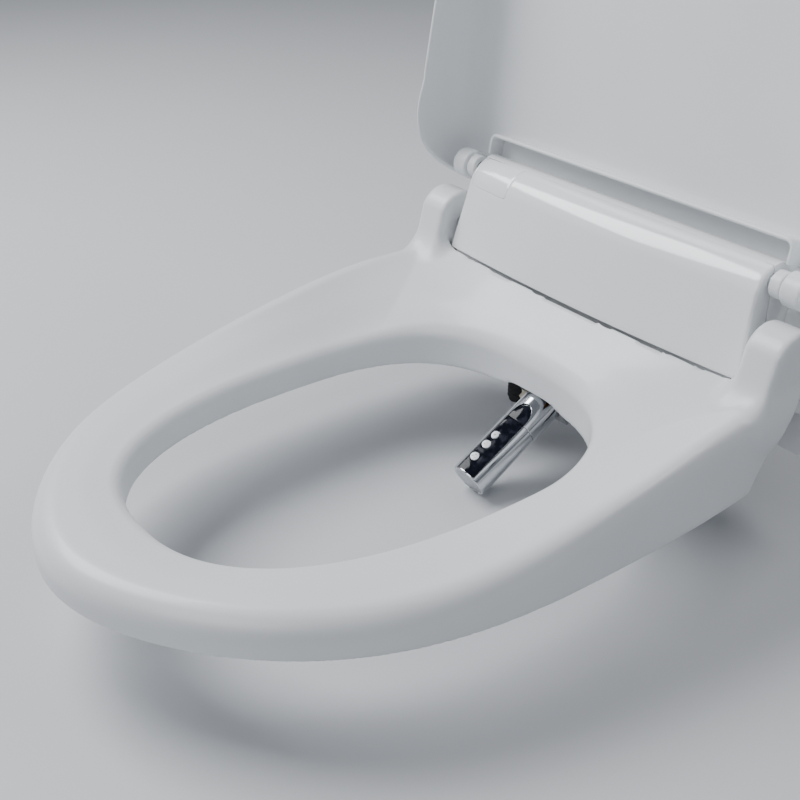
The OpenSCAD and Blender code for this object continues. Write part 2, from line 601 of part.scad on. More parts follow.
// ---- air ----
fan_at = [52, 86];
module dryer_casing() color("gray") difference() {
  rod_x(20, 30, 54, fan_at);
  rod_x(18, 32, 52, fan_at);
  rod_x(9, 28, 34, fan_at);
  rod_x(4.5, 50, 56, fan_at);
  box([34, 33.5, 60], [50, 47, 72]);
}
module rotor(r, w, n) {
  difference() {
    union() {
      cylinder(r = 4, h = w);
      translate([0, 0, w - 1.5]) cylinder(r = r, h = 1.5);
      for (i = [0:n - 1]) rotate([0, 0, 360 * i / n]) translate([r - 6, -0.6, 0]) cube([5.8, 1.2, w]);
    }
    translate([0, 0, -1]) cylinder(r = 1.5 + run_gap, h = w + 2);
  }
}
module dryer_rotor() color("lightgray") translate([34, fan_at[0], fan_at[1]]) rotate([0, 90, 0]) rotor(15, 14, 18);
module dryer_motor() color("dimgray") {
  rod_x(1.5, 36, 56, fan_at);
  rod_x(14, 54.2, 74, fan_at);
}
module air_duct() color("gray") difference() {
  along_x(31, 47) polygon([[-6.6, 16.6], [4, 16.6], [46, 60.5], [46, 67.8], [33.6, 67.8], [33.6, 62], [-6.6, 33]]);
  along_x(32.6, 45.4) polygon([[-8, 18.2], [3, 18.2], [44, 61], [44, 72], [35.2, 72], [35.2, 60], [-8, 31]]);
}
deo_at = [56, 88];
module deodoriser_casing() color("gray") difference() {
  rod_x(15, 84, 106, deo_at);
  rod_x(13, 86, 104, deo_at);
  rod_x(7, 82, 88, deo_at);
}
module deodoriser_rotor() color("lightgray") translate([87, deo_at[0], deo_at[1]]) rotate([0, 90, 0]) rotor(11, 12, 14);
module carbon_filter() color("black") difference() {
  round_box([110, 48, 72], [136, 71, 104], 2);
  for (z = [76:6:100]) box([109, 52, z], [137, 66, z + 2]);
}

// ---- electrics ----
module control_board() color("darkgreen") {
  box([140, 70, 44], [181, 71.6, 106]);
  box([146, 60, 80], [160, 70, 94]);
  box([166, 62, 50], [176, 70, 66]);
  translate([172, 70, 86]) rotate([90, 0, 0]) cylinder(r = 5, h = 14);
}
module power_module() color("black") round_box([60, 30, 14], [98, 64, 44], 3);
module cord_gland() color("dimgray") translate([150, body_back - 4, 26]) rotate([-90, 0, 0]) difference() {
  union() {
    cylinder(r = 6.9, h = 8);
    translate([0, 0, 4.1]) cylinder(r = 9, h = 3);
    translate([0, 0, -2]) cylinder(r = 9, h = 2.9);
  }
  translate([0, 0, -3]) cylinder(r = 3.6, h = 14);
}

mount_plate();
bolt_guides();
mounting_bolts();
bolt_washers();
expansion_plugs();
base_tray();
front_cover();
rear_cover();
wand_shroud();
case_screws();
seat_hinge_pins();
lid_hinge_pins();
seat_damper();
lid_damper();
release_button();
latch_spring();
seat_upper_shell();
seat_lower_shell();
seat_heater_foil();
seat_bumpers();
seat_hinge_lugs();
lid_shell();
lid_hinge_frame();
lid_bumpers();
wand_tube();
wand_tip();
spray_inset();
spray_discs();
wand_rack();
wand_pinion();
wand_motor();
motor_bracket();
service_flap();
flap_pin();
key_panel();
power_key();
wash_key();
key_lens();
inlet_fitting();
inlet_strainer();
solenoid_valve();
flow_sensor();
water_heater();
heater_element();
water_pump();
diverter_valve();
water_hoses();
dryer_casing();
dryer_rotor();
dryer_motor();
air_duct();
deodoriser_casing();
deodoriser_rotor();
carbon_filter();
control_board();
power_module();
cord_gland();
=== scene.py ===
# %% [markdown]
# # An electric bidet seat
# The object is a heated seat ring with a moulded lid, a glossy housing with a bowed front,
# and a polished spray wand that runs out under the ring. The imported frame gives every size.
# Here each visible piece gets its moulded shape and its finish.

# %% Load the frame
import json
import math

import bmesh
import bpy
import numpy as np
from mathutils import Matrix, Vector

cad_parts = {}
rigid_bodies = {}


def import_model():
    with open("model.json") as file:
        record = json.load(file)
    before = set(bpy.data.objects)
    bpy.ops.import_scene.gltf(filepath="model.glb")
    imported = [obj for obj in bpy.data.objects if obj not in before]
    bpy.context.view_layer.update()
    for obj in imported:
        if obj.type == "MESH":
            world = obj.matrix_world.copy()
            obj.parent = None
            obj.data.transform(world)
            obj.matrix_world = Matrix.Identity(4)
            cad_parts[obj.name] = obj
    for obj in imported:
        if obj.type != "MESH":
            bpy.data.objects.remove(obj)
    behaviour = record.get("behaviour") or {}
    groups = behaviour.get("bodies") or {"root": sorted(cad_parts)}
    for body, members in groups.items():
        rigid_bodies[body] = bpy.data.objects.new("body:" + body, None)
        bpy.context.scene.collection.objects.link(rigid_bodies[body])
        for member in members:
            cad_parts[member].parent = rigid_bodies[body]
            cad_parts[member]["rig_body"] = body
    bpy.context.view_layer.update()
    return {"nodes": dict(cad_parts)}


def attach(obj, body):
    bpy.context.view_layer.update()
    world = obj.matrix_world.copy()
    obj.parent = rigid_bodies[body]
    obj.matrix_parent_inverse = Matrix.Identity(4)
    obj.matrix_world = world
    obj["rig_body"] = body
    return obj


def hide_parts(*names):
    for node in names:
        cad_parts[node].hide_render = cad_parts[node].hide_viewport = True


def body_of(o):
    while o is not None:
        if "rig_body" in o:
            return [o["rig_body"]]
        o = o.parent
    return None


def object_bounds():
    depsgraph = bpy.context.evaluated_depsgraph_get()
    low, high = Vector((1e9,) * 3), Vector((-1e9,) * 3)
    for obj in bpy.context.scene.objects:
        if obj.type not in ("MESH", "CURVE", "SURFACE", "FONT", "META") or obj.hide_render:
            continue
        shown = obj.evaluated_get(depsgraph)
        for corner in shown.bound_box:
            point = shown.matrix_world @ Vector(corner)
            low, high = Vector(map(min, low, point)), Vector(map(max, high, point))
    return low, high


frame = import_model()
MM = 0.001

# %% [markdown]
# ## Camera, floor and light
# The camera stands front right and looks down on the ring. A wide soft lamp above the left
# gives the ring its long gradient, a second one fills the near side, and a strip behind
# draws bright lines along rolled edges. The floor is a plain pale plane.

# %% Camera, floor and lamps
VIEW_AZIMUTH, VIEW_ELEVATION, VIEW_DISTANCE = 52.82, 29.36, 0.9276
VIEW_TARGET = Vector((-0.07757, -0.11704, -0.00404))
VIEW_LENS = 53.15


def direction(azimuth, elevation):
    """The unit vector from the object towards a place in the room."""
    a, e = math.radians(azimuth), math.radians(elevation)
    return Vector((math.sin(a) * math.cos(e), -math.cos(a) * math.cos(e), math.sin(e)))


def aim(thing, spot, target):
    thing.location = spot
    thing.rotation_mode = "QUATERNION"
    thing.rotation_quaternion = (target - spot).to_track_quat("-Z", "Y")


def add_camera():
    camera = bpy.data.objects.new("camera", bpy.data.cameras.new("camera"))
    camera.data.lens, camera.data.sensor_width = VIEW_LENS, 36
    camera.data.clip_start, camera.data.clip_end = 0.01, 50
    aim(camera, VIEW_TARGET + direction(VIEW_AZIMUTH, VIEW_ELEVATION) * VIEW_DISTANCE, VIEW_TARGET)
    bpy.context.scene.collection.objects.link(camera)
    bpy.context.scene.camera = camera


def add_lamp(name, azimuth, elevation, distance, size, power, target, tint=(1, 1, 1)):
    lamp = bpy.data.objects.new(name, bpy.data.lights.new(name, "AREA"))
    lamp.data.shape = "RECTANGLE"
    lamp.data.size, lamp.data.size_y = size
    lamp.data.energy, lamp.data.color = power, tint
    aim(lamp, Vector(target) + direction(azimuth, elevation) * distance, Vector(target))
    bpy.context.scene.collection.objects.link(lamp)


add_camera()
add_lamp("key_softbox", -62, 50, 1.9, (1.1, 1.1), 44, (0, -0.15, 0.05), (0.97, 0.985, 1))
add_lamp("front_fill", 20, 35, 2.4, (1.4, 1.0), 12, (0, -0.1, 0.1), (0.95, 0.97, 1))
add_lamp("rear_strip", 150, 50, 1.9, (1.6, 0.35), 12, (0, 0, 0.1))

# %% [markdown]
# ## Shader arithmetic
# A shader pattern is a sum of simple fields. Wrapping a socket in a small class lets such a
# sum be written as plain Python, and each operation adds its Math node to the tree.

# %% A socket that can be added and multiplied
class Wire:
    def __init__(self, finish, socket):
        self.finish, self.socket = finish, socket

    def _math(self, operation, *values):
        return self.finish.node("ShaderNodeMath", {"operation": operation}, *values)

    def __add__(self, other):
        return self._math("ADD", self, other)

    def __mul__(self, other):
        return self._math("MULTIPLY", self, other)

    def __sub__(self, other):
        return self._math("SUBTRACT", self, other)

    def __rsub__(self, other):
        return self._math("SUBTRACT", other, self)

    def __pow__(self, other):
        return self._math("POWER", self, other)

    __radd__, __rmul__ = __add__, __mul__

    def step(self, low, high):
        """A soft 0 to 1 mask between low and high."""
        return self.finish.node(
            "ShaderNodeMapRange", {"interpolation_type": "SMOOTHSTEP"}, self, low, high, 0.0, 1.0)


class Finish:
    """A Principled material whose constants sit on the shader's own sockets."""

    def __init__(self, name, color, roughness, **constants):
        self.material = bpy.data.materials.new(name)
        self.material.use_nodes = True
        self.tree = self.material.node_tree
        self.shader = self.tree.nodes["Principled BSDF"]
        self.color = color
        self.material.diffuse_color = (*color, 1)
        self.set("Base Color", (*color, 1))
        self.set("Roughness", roughness)
        for socket, value in constants.items():
            self.set(socket.replace("_", " "), value)
        self.place = self.node("ShaderNodeTexCoord", {}, out="Object")

    def set(self, socket, value):
        target = self.shader.inputs[socket]
        if isinstance(value, Wire):
            self.tree.links.new(value.socket, target)
        else:
            target.default_value = value

    def node(self, kind, settings, *values, out=0, **named):
        made = self.tree.nodes.new(kind)
        for key, value in settings.items():
            setattr(made, key, value)
        slots = list(zip(made.inputs, values)) + [(made.inputs[k.replace("_", " ")], v) for k, v in named.items()]
        for socket, value in slots:
            if isinstance(value, Wire):
                self.tree.links.new(value.socket, socket)
            elif value is not None:
                socket.default_value = value
        return Wire(self, made.outputs[out])

    def noise(self, scale, detail=3.0, stretch=(1, 1, 1), at=None):
        """Smooth noise from 0 to 1, with features about 1 / scale metres across."""
        spot = self.node("ShaderNodeMapping", {}, at or self.place, Scale=stretch)
        return self.node("ShaderNodeTexNoise", {}, Vector=spot, Scale=scale, Detail=detail)

    def blend(self, mask, first, second):
        """A colour between two, by a mask."""
        made = self.tree.nodes.new("ShaderNodeMix")
        made.data_type = "RGBA"
        self.tree.links.new(mask.socket, made.inputs[0])
        made.inputs[6].default_value = (*first, 1)
        made.inputs[7].default_value = (*second, 1)
        return Wire(self, made.outputs[2])

    def bump(self, height, strength, distance):
        return self.node("ShaderNodeBump", {}, Height=height, Strength=strength, Distance=distance)


# %% [markdown]
# ## Finishes
# Moulded plastic is never one flat colour. It has a fine spark-eroded grain from the mould,
# a slow drift in gloss where the melt ran, and a little dulling where hands wipe it. The
# glossy housing has almost no grain but a faint waviness that bends its highlights.

# %% Plastics, rubber, metals
FINISHES = {}


def shade(color, amount):
    return tuple(c * amount for c in color)


def plastic(name, color, roughness, grain, depth, coat=0.0, wave=0.0, drift=0.06):
    finish = Finish(name, color, roughness, Coat_Roughness=0.08, IOR=1.5)
    cloud = finish.noise(9.0, 2.0)
    wiped = finish.noise(38.0, 4.0).step(0.35, 0.75)
    finish.set("Base Color", finish.blend(cloud.step(0.3, 0.7), color, shade(color, 0.965)))
    finish.set("Roughness", roughness + (cloud - 0.5) * drift + wiped * (drift * 0.5))
    fine = finish.noise(grain, 2.0)
    height = fine + finish.noise(14.0, 1.0) * wave
    finish.set("Normal", finish.bump(height, 0.35, depth))
    if coat:
        finish.set("Coat Weight", coat)
    FINISHES[name] = finish.material
    return finish.material


def metal(name, color, roughness, streak, depth=2e-6, turn=(1, 1, 1)):
    finish = Finish(name, color, roughness, Metallic=1.0)
    lines = finish.noise(streak, 3.0, turn)
    smear = finish.noise(45.0, 4.0).step(0.4, 0.8)
    finish.set("Base Color", finish.blend(lines.step(0.3, 0.7), color, shade(color, 0.93)))
    finish.set("Roughness", roughness * 0.8 + lines * (roughness * 0.5) + smear * 0.05)
    finish.set("Normal", finish.bump(lines, 0.25, depth))
    FINISHES[name] = finish.material
    return finish.material


plastic("satin_seat", (0.80, 0.815, 0.83), 0.36, 1500.0, 1.6e-5, coat=0.12)
plastic("satin_lid", (0.79, 0.805, 0.82), 0.40, 1500.0, 2.0e-5, coat=0.08)
plastic("gloss_housing", (0.93, 0.94, 0.95), 0.16, 900.0, 2e-6, coat=0.7, wave=4.0, drift=0.03)
plastic("textured_chassis", (0.74, 0.75, 0.765), 0.5, 900.0, 5e-5)
plastic("grey_plastic", (0.22, 0.23, 0.245), 0.45, 1100.0, 3e-5)
plastic("dark_plastic", (0.028, 0.028, 0.032), 0.42, 1100.0, 3e-5)
plastic("ivory_plastic", (0.66, 0.62, 0.50), 0.42, 1100.0, 2e-5)
plastic("dark_rubber", (0.016, 0.016, 0.017), 0.7, 700.0, 5e-5)
plastic("disc_white", (0.86, 0.88, 0.9), 0.2, 1200.0, 3e-6, coat=0.5)
plastic("key_grey", (0.5, 0.52, 0.54), 0.3, 1100.0, 1e-5, coat=0.2)
plastic("hose_blue", (0.03, 0.12, 0.36), 0.35, 900.0, 1e-5)
plastic("foil_orange", (0.5, 0.17, 0.02), 0.3, 600.0, 1e-5)
plastic("heater_ceramic", (0.6, 0.54, 0.42), 0.6, 500.0, 5e-5)
metal("polished_wand", (0.72, 0.74, 0.77), 0.1, 260.0, turn=(9, 1, 1))
metal("wand_face", (0.50, 0.51, 0.53), 0.33, 900.0, 6e-6)
metal("zinc_steel", (0.55, 0.56, 0.575), 0.32, 320.0, 6e-6)
metal("machined_brass", (0.70, 0.48, 0.19), 0.26, 520.0, 4e-6, turn=(1, 8, 8))
metal("element_sheath", (0.26, 0.2, 0.17), 0.42, 420.0, 6e-6)
print(len(FINISHES), "finishes")

# %% [markdown]
# Four finishes have a pattern of their own: the dark glassy strip with its smudges, the
# clear lens, the board with its tracks under green lacquer, and pressed carbon grains.

# %% Patterned finishes
def glassy_strip():
    finish = Finish("glassy_strip", (0.006, 0.007, 0.012), 0.06, IOR=1.5)
    finish.set("Specular IOR Level", 0.22)
    smudge = finish.noise(190.0, 5.0).step(0.45, 0.7)
    finish.set("Base Color", finish.blend(smudge, (0.004, 0.005, 0.010), (0.018, 0.02, 0.032)))
    finish.set("Roughness", 0.05 + smudge * 0.16)
    FINISHES["glassy_strip"] = finish.material


def clear_lens():
    finish = Finish("clear_lens", (0.45, 0.75, 0.9), 0.08, Transmission_Weight=0.8, IOR=1.49)
    finish.set("Roughness", 0.06 + finish.noise(600.0) * 0.08)
    FINISHES["clear_lens"] = finish.material


def lacquered_board():
    finish = Finish("lacquered_board", (0.012, 0.12, 0.045), 0.25, Coat_Weight=0.4)
    tracks = finish.node("ShaderNodeTexBrick", {}, Vector=finish.place, Scale=130.0, out="Fac")
    finish.set("Base Color", finish.blend(tracks, (0.012, 0.12, 0.045), (0.05, 0.24, 0.10)))
    finish.set("Roughness", 0.22 + finish.noise(300.0) * 0.1)
    finish.set("Normal", finish.bump(tracks, 0.3, 4e-5))
    FINISHES["lacquered_board"] = finish.material


def pressed_carbon():
    finish = Finish("pressed_carbon", (0.012, 0.012, 0.012), 0.8)
    grains = finish.node("ShaderNodeTexVoronoi", {}, Vector=finish.place, Scale=700.0)
    finish.set("Base Color", finish.blend(grains.step(0.1, 0.6), (0.006, 0.006, 0.006), (0.03, 0.03, 0.031)))
    finish.set("Normal", finish.bump(grains, 0.7, 2e-4))
    FINISHES["pressed_carbon"] = finish.material


for make in (glassy_strip, clear_lens, lacquered_board, pressed_carbon):
    make()
print(len(FINISHES), "finishes with the patterned ones")

# %% [markdown]
# ## Mesh helpers
# Every piece ends in one call that gives it its finish, its shading, the body it rides on
# and the frame nodes it stands for. Sizes are worked out in millimetres, as on a drawing,
# and turned into metres when the mesh is made.

# %% Piece helpers
def smooth_by_angle(mesh, degrees):
    mesh.shade_smooth()
    mesh.set_sharp_from_angle(angle=math.radians(degrees))


def piece(name, mesh, finish, body, stands_for=(), degrees=35.0):
    made = bpy.data.objects.new(name, mesh)
    bpy.context.scene.collection.objects.link(made)
    mesh.materials.clear()
    mesh.materials.append(FINISHES[finish])
    if degrees:
        smooth_by_angle(mesh, degrees)
    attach(made, body)
    if stands_for:
        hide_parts(*stands_for)
    print(f"{name}: {len(mesh.polygons)} faces on {body}")
    return made


def mesh_from(name, points, faces):
    """A mesh from points in millimetres."""
    mesh = bpy.data.meshes.new(name)
    mesh.from_pydata((np.asarray(points, float) * MM).tolist(), [], [list(map(int, f)) for f in faces])
    mesh.validate()
    return mesh


def outward(mesh):
    """Doubles merged, then normals turned outwards."""
    work = bmesh.new()
    work.from_mesh(mesh)
    bmesh.ops.remove_doubles(work, verts=work.verts, dist=1e-6)
    bmesh.ops.recalc_face_normals(work, faces=work.faces)
    work.to_mesh(mesh)
    work.free()
    return mesh


def applied(mesh, kind, **settings):
    """The mesh after one modifier."""
    holder = bpy.data.objects.new("holder", mesh)
    bpy.context.scene.collection.objects.link(holder)
    modifier = holder.modifiers.new(kind, kind)
    for key, value in settings.items():
        setattr(modifier, key, value)
    graph = bpy.context.evaluated_depsgraph_get()
    result = bpy.data.meshes.new_from_object(holder.evaluated_get(graph))
    bpy.data.objects.remove(holder)
    return result


def cut(mesh, tool, operation="DIFFERENCE"):
    holder = bpy.data.objects.new("tool", tool)
    bpy.context.scene.collection.objects.link(holder)
    result = applied(mesh, "BOOLEAN", operation=operation, object=holder, solver="EXACT")
    bpy.data.objects.remove(holder)
    return result


def softened(node, width, finish, name=None, segments=3, degrees=40.0):
    """A copy of a frame node with its sharp edges rounded off."""
    source = frame["nodes"][node]
    work = bmesh.new()
    work.from_mesh(source.data)
    bmesh.ops.remove_doubles(work, verts=work.verts, dist=2e-6)
    bmesh.ops.dissolve_limit(work, angle_limit=math.radians(1.5), verts=work.verts, edges=work.edges)
    mesh = bpy.data.meshes.new(node)
    work.to_mesh(mesh)
    work.free()
    mesh = applied(mesh, "BEVEL", width=width * MM, segments=segments, limit_method="ANGLE",
                   angle_limit=math.radians(degrees), use_clamp_overlap=True, harden_normals=False)
    body = body_of(source)[0]
    return piece(name or f"{node}_moulded", mesh, finish, body, (node,))


# %% Ring, lathe and slab builders
def rings_mesh(name, rings, closed_along=False, caps=True):
    """Skin through rings of points, all with the same count."""
    rings = np.asarray(rings, float)
    count, size = rings.shape[:2]
    faces = []
    for i in range(count if closed_along else count - 1):
        a, b = i * size, (i + 1) % count * size
        faces += [(a + j, a + (j + 1) % size, b + (j + 1) % size, b + j) for j in range(size)]
    if caps and not closed_along:
        faces += [tuple(range(size))[::-1], tuple((count - 1) * size + j for j in range(size))]
    return outward(mesh_from(name, rings.reshape(-1, 3), faces))


def lathe(name, profile, place, sides=64):
    """Turns a profile of (radius, height) about the +Z of place; both ends close on the axis."""
    turn = [2 * math.pi * k / sides for k in range(sides)]
    rings = [[(max(r, 1e-4) * math.cos(a), max(r, 1e-4) * math.sin(a), z) for a in turn] for r, z in profile]
    flat = np.asarray(rings).reshape(-1, 3)
    moved = np.array([place @ Vector(p) for p in flat]).reshape(len(profile), sides, 3)
    return rings_mesh(name, moved)


def rounded(profile, radius, steps=4):
    """Rounds the inner corners of an open line of 2-D points."""
    out = [profile[0]]
    for before, corner, after in zip(profile, profile[1:], profile[2:]):
        corner = np.array(corner, float)
        to_a, to_b = np.array(before) - corner, np.array(after) - corner
        reach = min(radius, 0.45 * np.linalg.norm(to_a), 0.45 * np.linalg.norm(to_b))
        a, b = corner + to_a / np.linalg.norm(to_a) * reach, corner + to_b / np.linalg.norm(to_b) * reach
        for t in np.linspace(0, 1, steps + 1):
            out.append(tuple((1 - t) ** 2 * a + 2 * t * (1 - t) * corner + t * t * b))
    return out + [profile[-1]]


def prism(name, outline, low, high, place):
    """A straight slab of an outline in the local XY plane of place."""
    rings = [[place @ Vector((x, y, z)) for x, y in outline] for z in (low, high)]
    return rings_mesh(name, rings)


def joined(name, *meshes):
    work = bmesh.new()
    for mesh in meshes:
        work.from_mesh(mesh)
    made = bpy.data.meshes.new(name)
    work.to_mesh(made)
    work.free()
    return made


ALONG_X = Matrix(((0, 0, 1, 0), (1, 0, 0, 0), (0, 1, 0, 0), (0, 0, 0, 1)))


def on_x(x, y, z):
    """A place whose +Z runs along +X, with its own X along +Y."""
    return Matrix.Translation((x, y, z)) @ ALONG_X


# %% [markdown]
# ## Implicit surfaces
# The ring's saddle, its rolled rims and its two hinge lugs flow into each other with soft
# fillets. Such a shape is easiest to state as a field that is negative inside: rounded
# intersections roll the rims, and a rounded union makes the fillets. Surface nets turn the
# field into quads, and each point is then pulled onto the true surface.

# %% Field helpers
def smooth(v):
    t = np.clip(v, 0, 1)
    return t * t * (3 - 2 * t)


def mix(a, b, t):
    return a + (b - a) * t


def both(a, b, r):
    """Inside both fields, with a convex edge of radius r."""
    return np.minimum(np.maximum(a, b), -r) + np.hypot(np.maximum(a + r, 0), np.maximum(b + r, 0))


def either(a, b, r):
    """Inside either field, with a concave fillet of radius r."""
    return np.maximum(np.minimum(a, b), r) - np.hypot(np.maximum(r - a, 0), np.maximum(r - b, 0))


def surface_net(field, low, high, cell):
    low = np.array(low, float)
    count = np.ceil((np.array(high) - low) / cell).astype(int) + 1
    axes = [low[k] + cell * np.arange(count[k]) for k in range(3)]
    grid = np.broadcast_to(field(axes[0][:, None, None], axes[1][None, :, None], axes[2][None, None, :]), count)
    cells = tuple(count - 1)
    total, hits = np.zeros((*cells, 3)), np.zeros(cells)
    crossings = []
    for axis in range(3):
        a = np.delete(grid, -1, axis)
        b = np.delete(grid, 0, axis)
        crossed = (a < 0) != (b < 0)
        share = np.where(crossed, a / np.where(crossed, a - b, 1), 0)
        crossings.append((crossed, a < 0))
        others = [k for k in range(3) if k != axis]
        for da in (0, 1):
            for db in (0, 1):
                pick = [slice(None)] * 3
                pick[others[0]] = slice(da, da + cells[others[0]])
                pick[others[1]] = slice(db, db + cells[others[1]])
                hit = crossed[tuple(pick)]
                hits += hit
                total[..., axis] += np.where(hit, share[tuple(pick)], 0)
                total[..., others[0]] += hit * da
                total[..., others[1]] += hit * db
    used = hits > 0
    index = np.full(cells, -1)
    index[used] = np.arange(used.sum())
    corner = np.stack(np.nonzero(used), 1)
    points = low + cell * (corner + total[used] / hits[used][:, None])
    faces = []
    for axis in range(3):
        crossed, starts_inside = crossings[axis]
        p, q = [(1, 2), (2, 0), (0, 1)][axis]
        inner = [slice(None)] * 3
        inner[p], inner[q] = slice(1, cells[p]), slice(1, cells[q])
        where = np.stack(np.nonzero(crossed[tuple(inner)]), 1)
        where[:, p] += 1
        where[:, q] += 1
        forward = starts_inside[tuple(where.T)]
        quad = []
        for dp, dq in ((1, 1), (0, 1), (0, 0), (1, 0)):
            cell_at = where.copy()
            cell_at[:, p] -= dp
            cell_at[:, q] -= dq
            quad.append(index[tuple(cell_at.T)])
        quad = np.stack(quad, 1)
        quad[~forward] = quad[~forward][:, ::-1]
        faces.append(quad)
    return points, np.concatenate(faces)


def settled(points, field, cell, rounds=4):
    """Pulls points onto the field's zero surface along its slope."""
    step = 0.05
    for _ in range(rounds):
        value = field(*points.T)
        slope = np.stack([(field(*(points + step * e).T) - field(*(points - step * e).T)) / (2 * step)
                          for e in np.eye(3)], 1)
        move = value[:, None] * slope / np.maximum((slope ** 2).sum(1), 0.05)[:, None]
        length = np.linalg.norm(move, axis=1)[:, None]
        points = points - move * np.minimum(1, 0.5 * cell / np.maximum(length, 1e-9))
    return points


def field_mesh(name, field, low, high, cell):
    points, faces = surface_net(field, low, high, cell)
    points = settled(points, field, cell)
    return mesh_from(name, points, faces)


# %% [markdown]
# ## The ring
# Seen from above, the ring is a long rounded nose with almost straight flanks, and its
# opening is a squarish ellipse. Its top rises like a saddle to the housing's lower edge.

# %% Outlines shared by the ring and the lid
SEAT_HALF, SEAT_FRONT, SEAT_UNDER = 191.0, 436.0, 10.0
NOSE = 300.0
HOLE_Y, HOLE_HALF, HOLE_FRONT, HOLE_REAR = -182.0, 119.0, 191.0, 131.0
COVER_HALF, COVER_BOW = 144.0, 6.0


def bow(x):
    """How far the housing's front stands forward at x."""
    return COVER_BOW * (1 - np.clip(np.abs(x) / COVER_HALF, 0, 1) ** 2)


def outline_distance(x, y, half, front):
    """Distance to the seat-shaped outline, to first order; negative inside."""
    u = np.maximum((NOSE - front - y) / NOSE, 0)
    v = np.maximum(y - NOSE + front, 0) / 150
    wide = half - 10 * v ** 2
    value = (x / wide) ** 2 + u ** 2.9 + u ** 4.9 - u ** 5.9 - 1
    slope_x = 2 * x / wide ** 2
    slope_y = -(2.9 * u ** 1.9 + 4.9 * u ** 3.9 - 5.9 * u ** 4.9) / NOSE + 2 * x ** 2 / wide ** 3 * 20 * v / 150
    return np.maximum(value / np.sqrt(slope_x ** 2 + slope_y ** 2 + 1e-8), -90)


def hole_distance(x, y):
    """Distance to the opening's rim; negative over the opening."""
    dy = y - HOLE_Y
    ahead = dy < 0
    power, long = np.where(ahead, 2.4, 2.7), np.where(ahead, HOLE_FRONT, HOLE_REAR)
    px, py = np.maximum(np.abs(x), 0.01) / HOLE_HALF, np.maximum(np.abs(dy), 0.01) / long
    r = (px ** power + py ** power) ** (1 / power)
    slope = np.hypot(r ** (1 - power) * px ** (power - 1) / HOLE_HALF, r ** (1 - power) * py ** (power - 1) / long)
    return (r - 1) / slope


def ring_top(x, y):
    """Height of the ring's top."""
    outside = np.maximum(hole_distance(x, y), 0)
    to_rear = -(y + 9.2 + bow(x))
    to_side = -outline_distance(x, y, SEAT_HALF, SEAT_FRONT)
    near = np.minimum(to_rear, to_side) - 12 * np.exp(-np.abs(to_rear - to_side) / 24) * 0.25
    share = np.clip(outside / np.maximum(outside + np.maximum(near, 0), 1e-3), 0, 1)
    crown = mix(34, 37, smooth(2 * share))
    rise = mix(9 * smooth((y + 150) / 100), 38 * smooth((y + 330) / 270), share ** 1.3)
    return crown + rise


# %% The ring's field
LUG_X, LUG_AT, LUG_LOW, LUG_R = (154.5, 184.0), (7.0, 96.0), (-10.0, 60.0), 22.5
SKIN = 4.3


def ring_body(x, y, z):
    side = outline_distance(x, y, SEAT_HALF, SEAT_FRONT)
    slant = (y + 22 - 0.667 * (z - 5)) / 1.2
    side = both(side, slant, 9)
    body = both((z - ring_top(x, y)) / 1.04, side, 17)
    return both(body, -hole_distance(x, y), 9)


def lug_body(x, y, z):
    run, drop = LUG_LOW[0] - LUG_AT[0], LUG_LOW[1] - LUG_AT[1]
    share = np.clip(((y - LUG_AT[0]) * run + (z - LUG_AT[1]) * drop) / (run ** 2 + drop ** 2), 0, 1)
    tube = np.hypot(y - LUG_AT[0] - run * share, z - LUG_AT[1] - drop * share) - mix(LUG_R, 15, share)
    across = np.abs(np.abs(x) - sum(LUG_X) / 2) - (LUG_X[1] - LUG_X[0]) / 2
    return both(tube, across, 4.5)


def housing_room(x, y, z):
    """Negative where the ring may be: clear of the housing's box."""
    half = 146.5 + 7 * (1 - np.clip((z - 76) / 73, 0, 1)) * (1 - smooth((y + 8) / 31))
    return -np.maximum(np.abs(x) - half, -(y + 8.9 + bow(x)))


def ring_low(x, y):
    """Height of the skin's lower edge."""
    wand_arch = 4.5 * smooth((y + 90) / 30) * (1 - smooth((np.abs(x) - 16) / 22))
    rear_lip = 36 * smooth((y + 42) / 16) * (1 - smooth((np.abs(x) - 112) / 24))
    return SEAT_UNDER + np.maximum(wand_arch * (y < -38), rear_lip)


def ring_solid(x, y, z):
    solid = either(ring_body(x, y, z), lug_body(x, y, z), 15)
    return both(solid, housing_room(x, y, z), 1.6)


def ring_skin(x, y, z):
    solid = ring_solid(x, y, z)
    under = both(solid, 4 - z, 9)
    hollow = -(solid + SKIN)
    wall = np.maximum(under, np.minimum(hollow, 60))
    return both(wall, ring_low(x, y) - z, 1.0)


RING_CELL = 2.1
ring_mesh = field_mesh("ring", ring_skin, (-196, -441, 5), (196, 34, 124), RING_CELL)
print("ring skin", len(ring_mesh.polygons))
piece("seat_ring", ring_mesh, "satin_seat", "seat",
      ("seat_upper_shell", "seat_hinge_lugs"), degrees=50)

# %% [markdown]
# ## The lid
# The lid is one deep moulding. It is drawn closed, as rings that run from the centre of its
# top out over the rolled corner, round the lower edge and back along the inside, and is then
# swung open about its hinge. Rings suit it because each one is the rim's own outline.

# %% Lid rim and heights
LID_HALF, LID_FRONT, LID_WALL, LID_OPEN = 195.0, 439.0, 4.0, 109.0
LID_PIVOT = np.array((22.0, 138.0))
LID_SLOPE = 0.2235
LID_CORE = np.array((0.0, -170.0))


def outline_x(y, half, front):
    u = np.clip((NOSE - front - y) / NOSE, 0, 1)
    return half * math.sqrt(max(0.0, 1 - (u ** 2.9 + u ** 4.9 - u ** 5.9)))


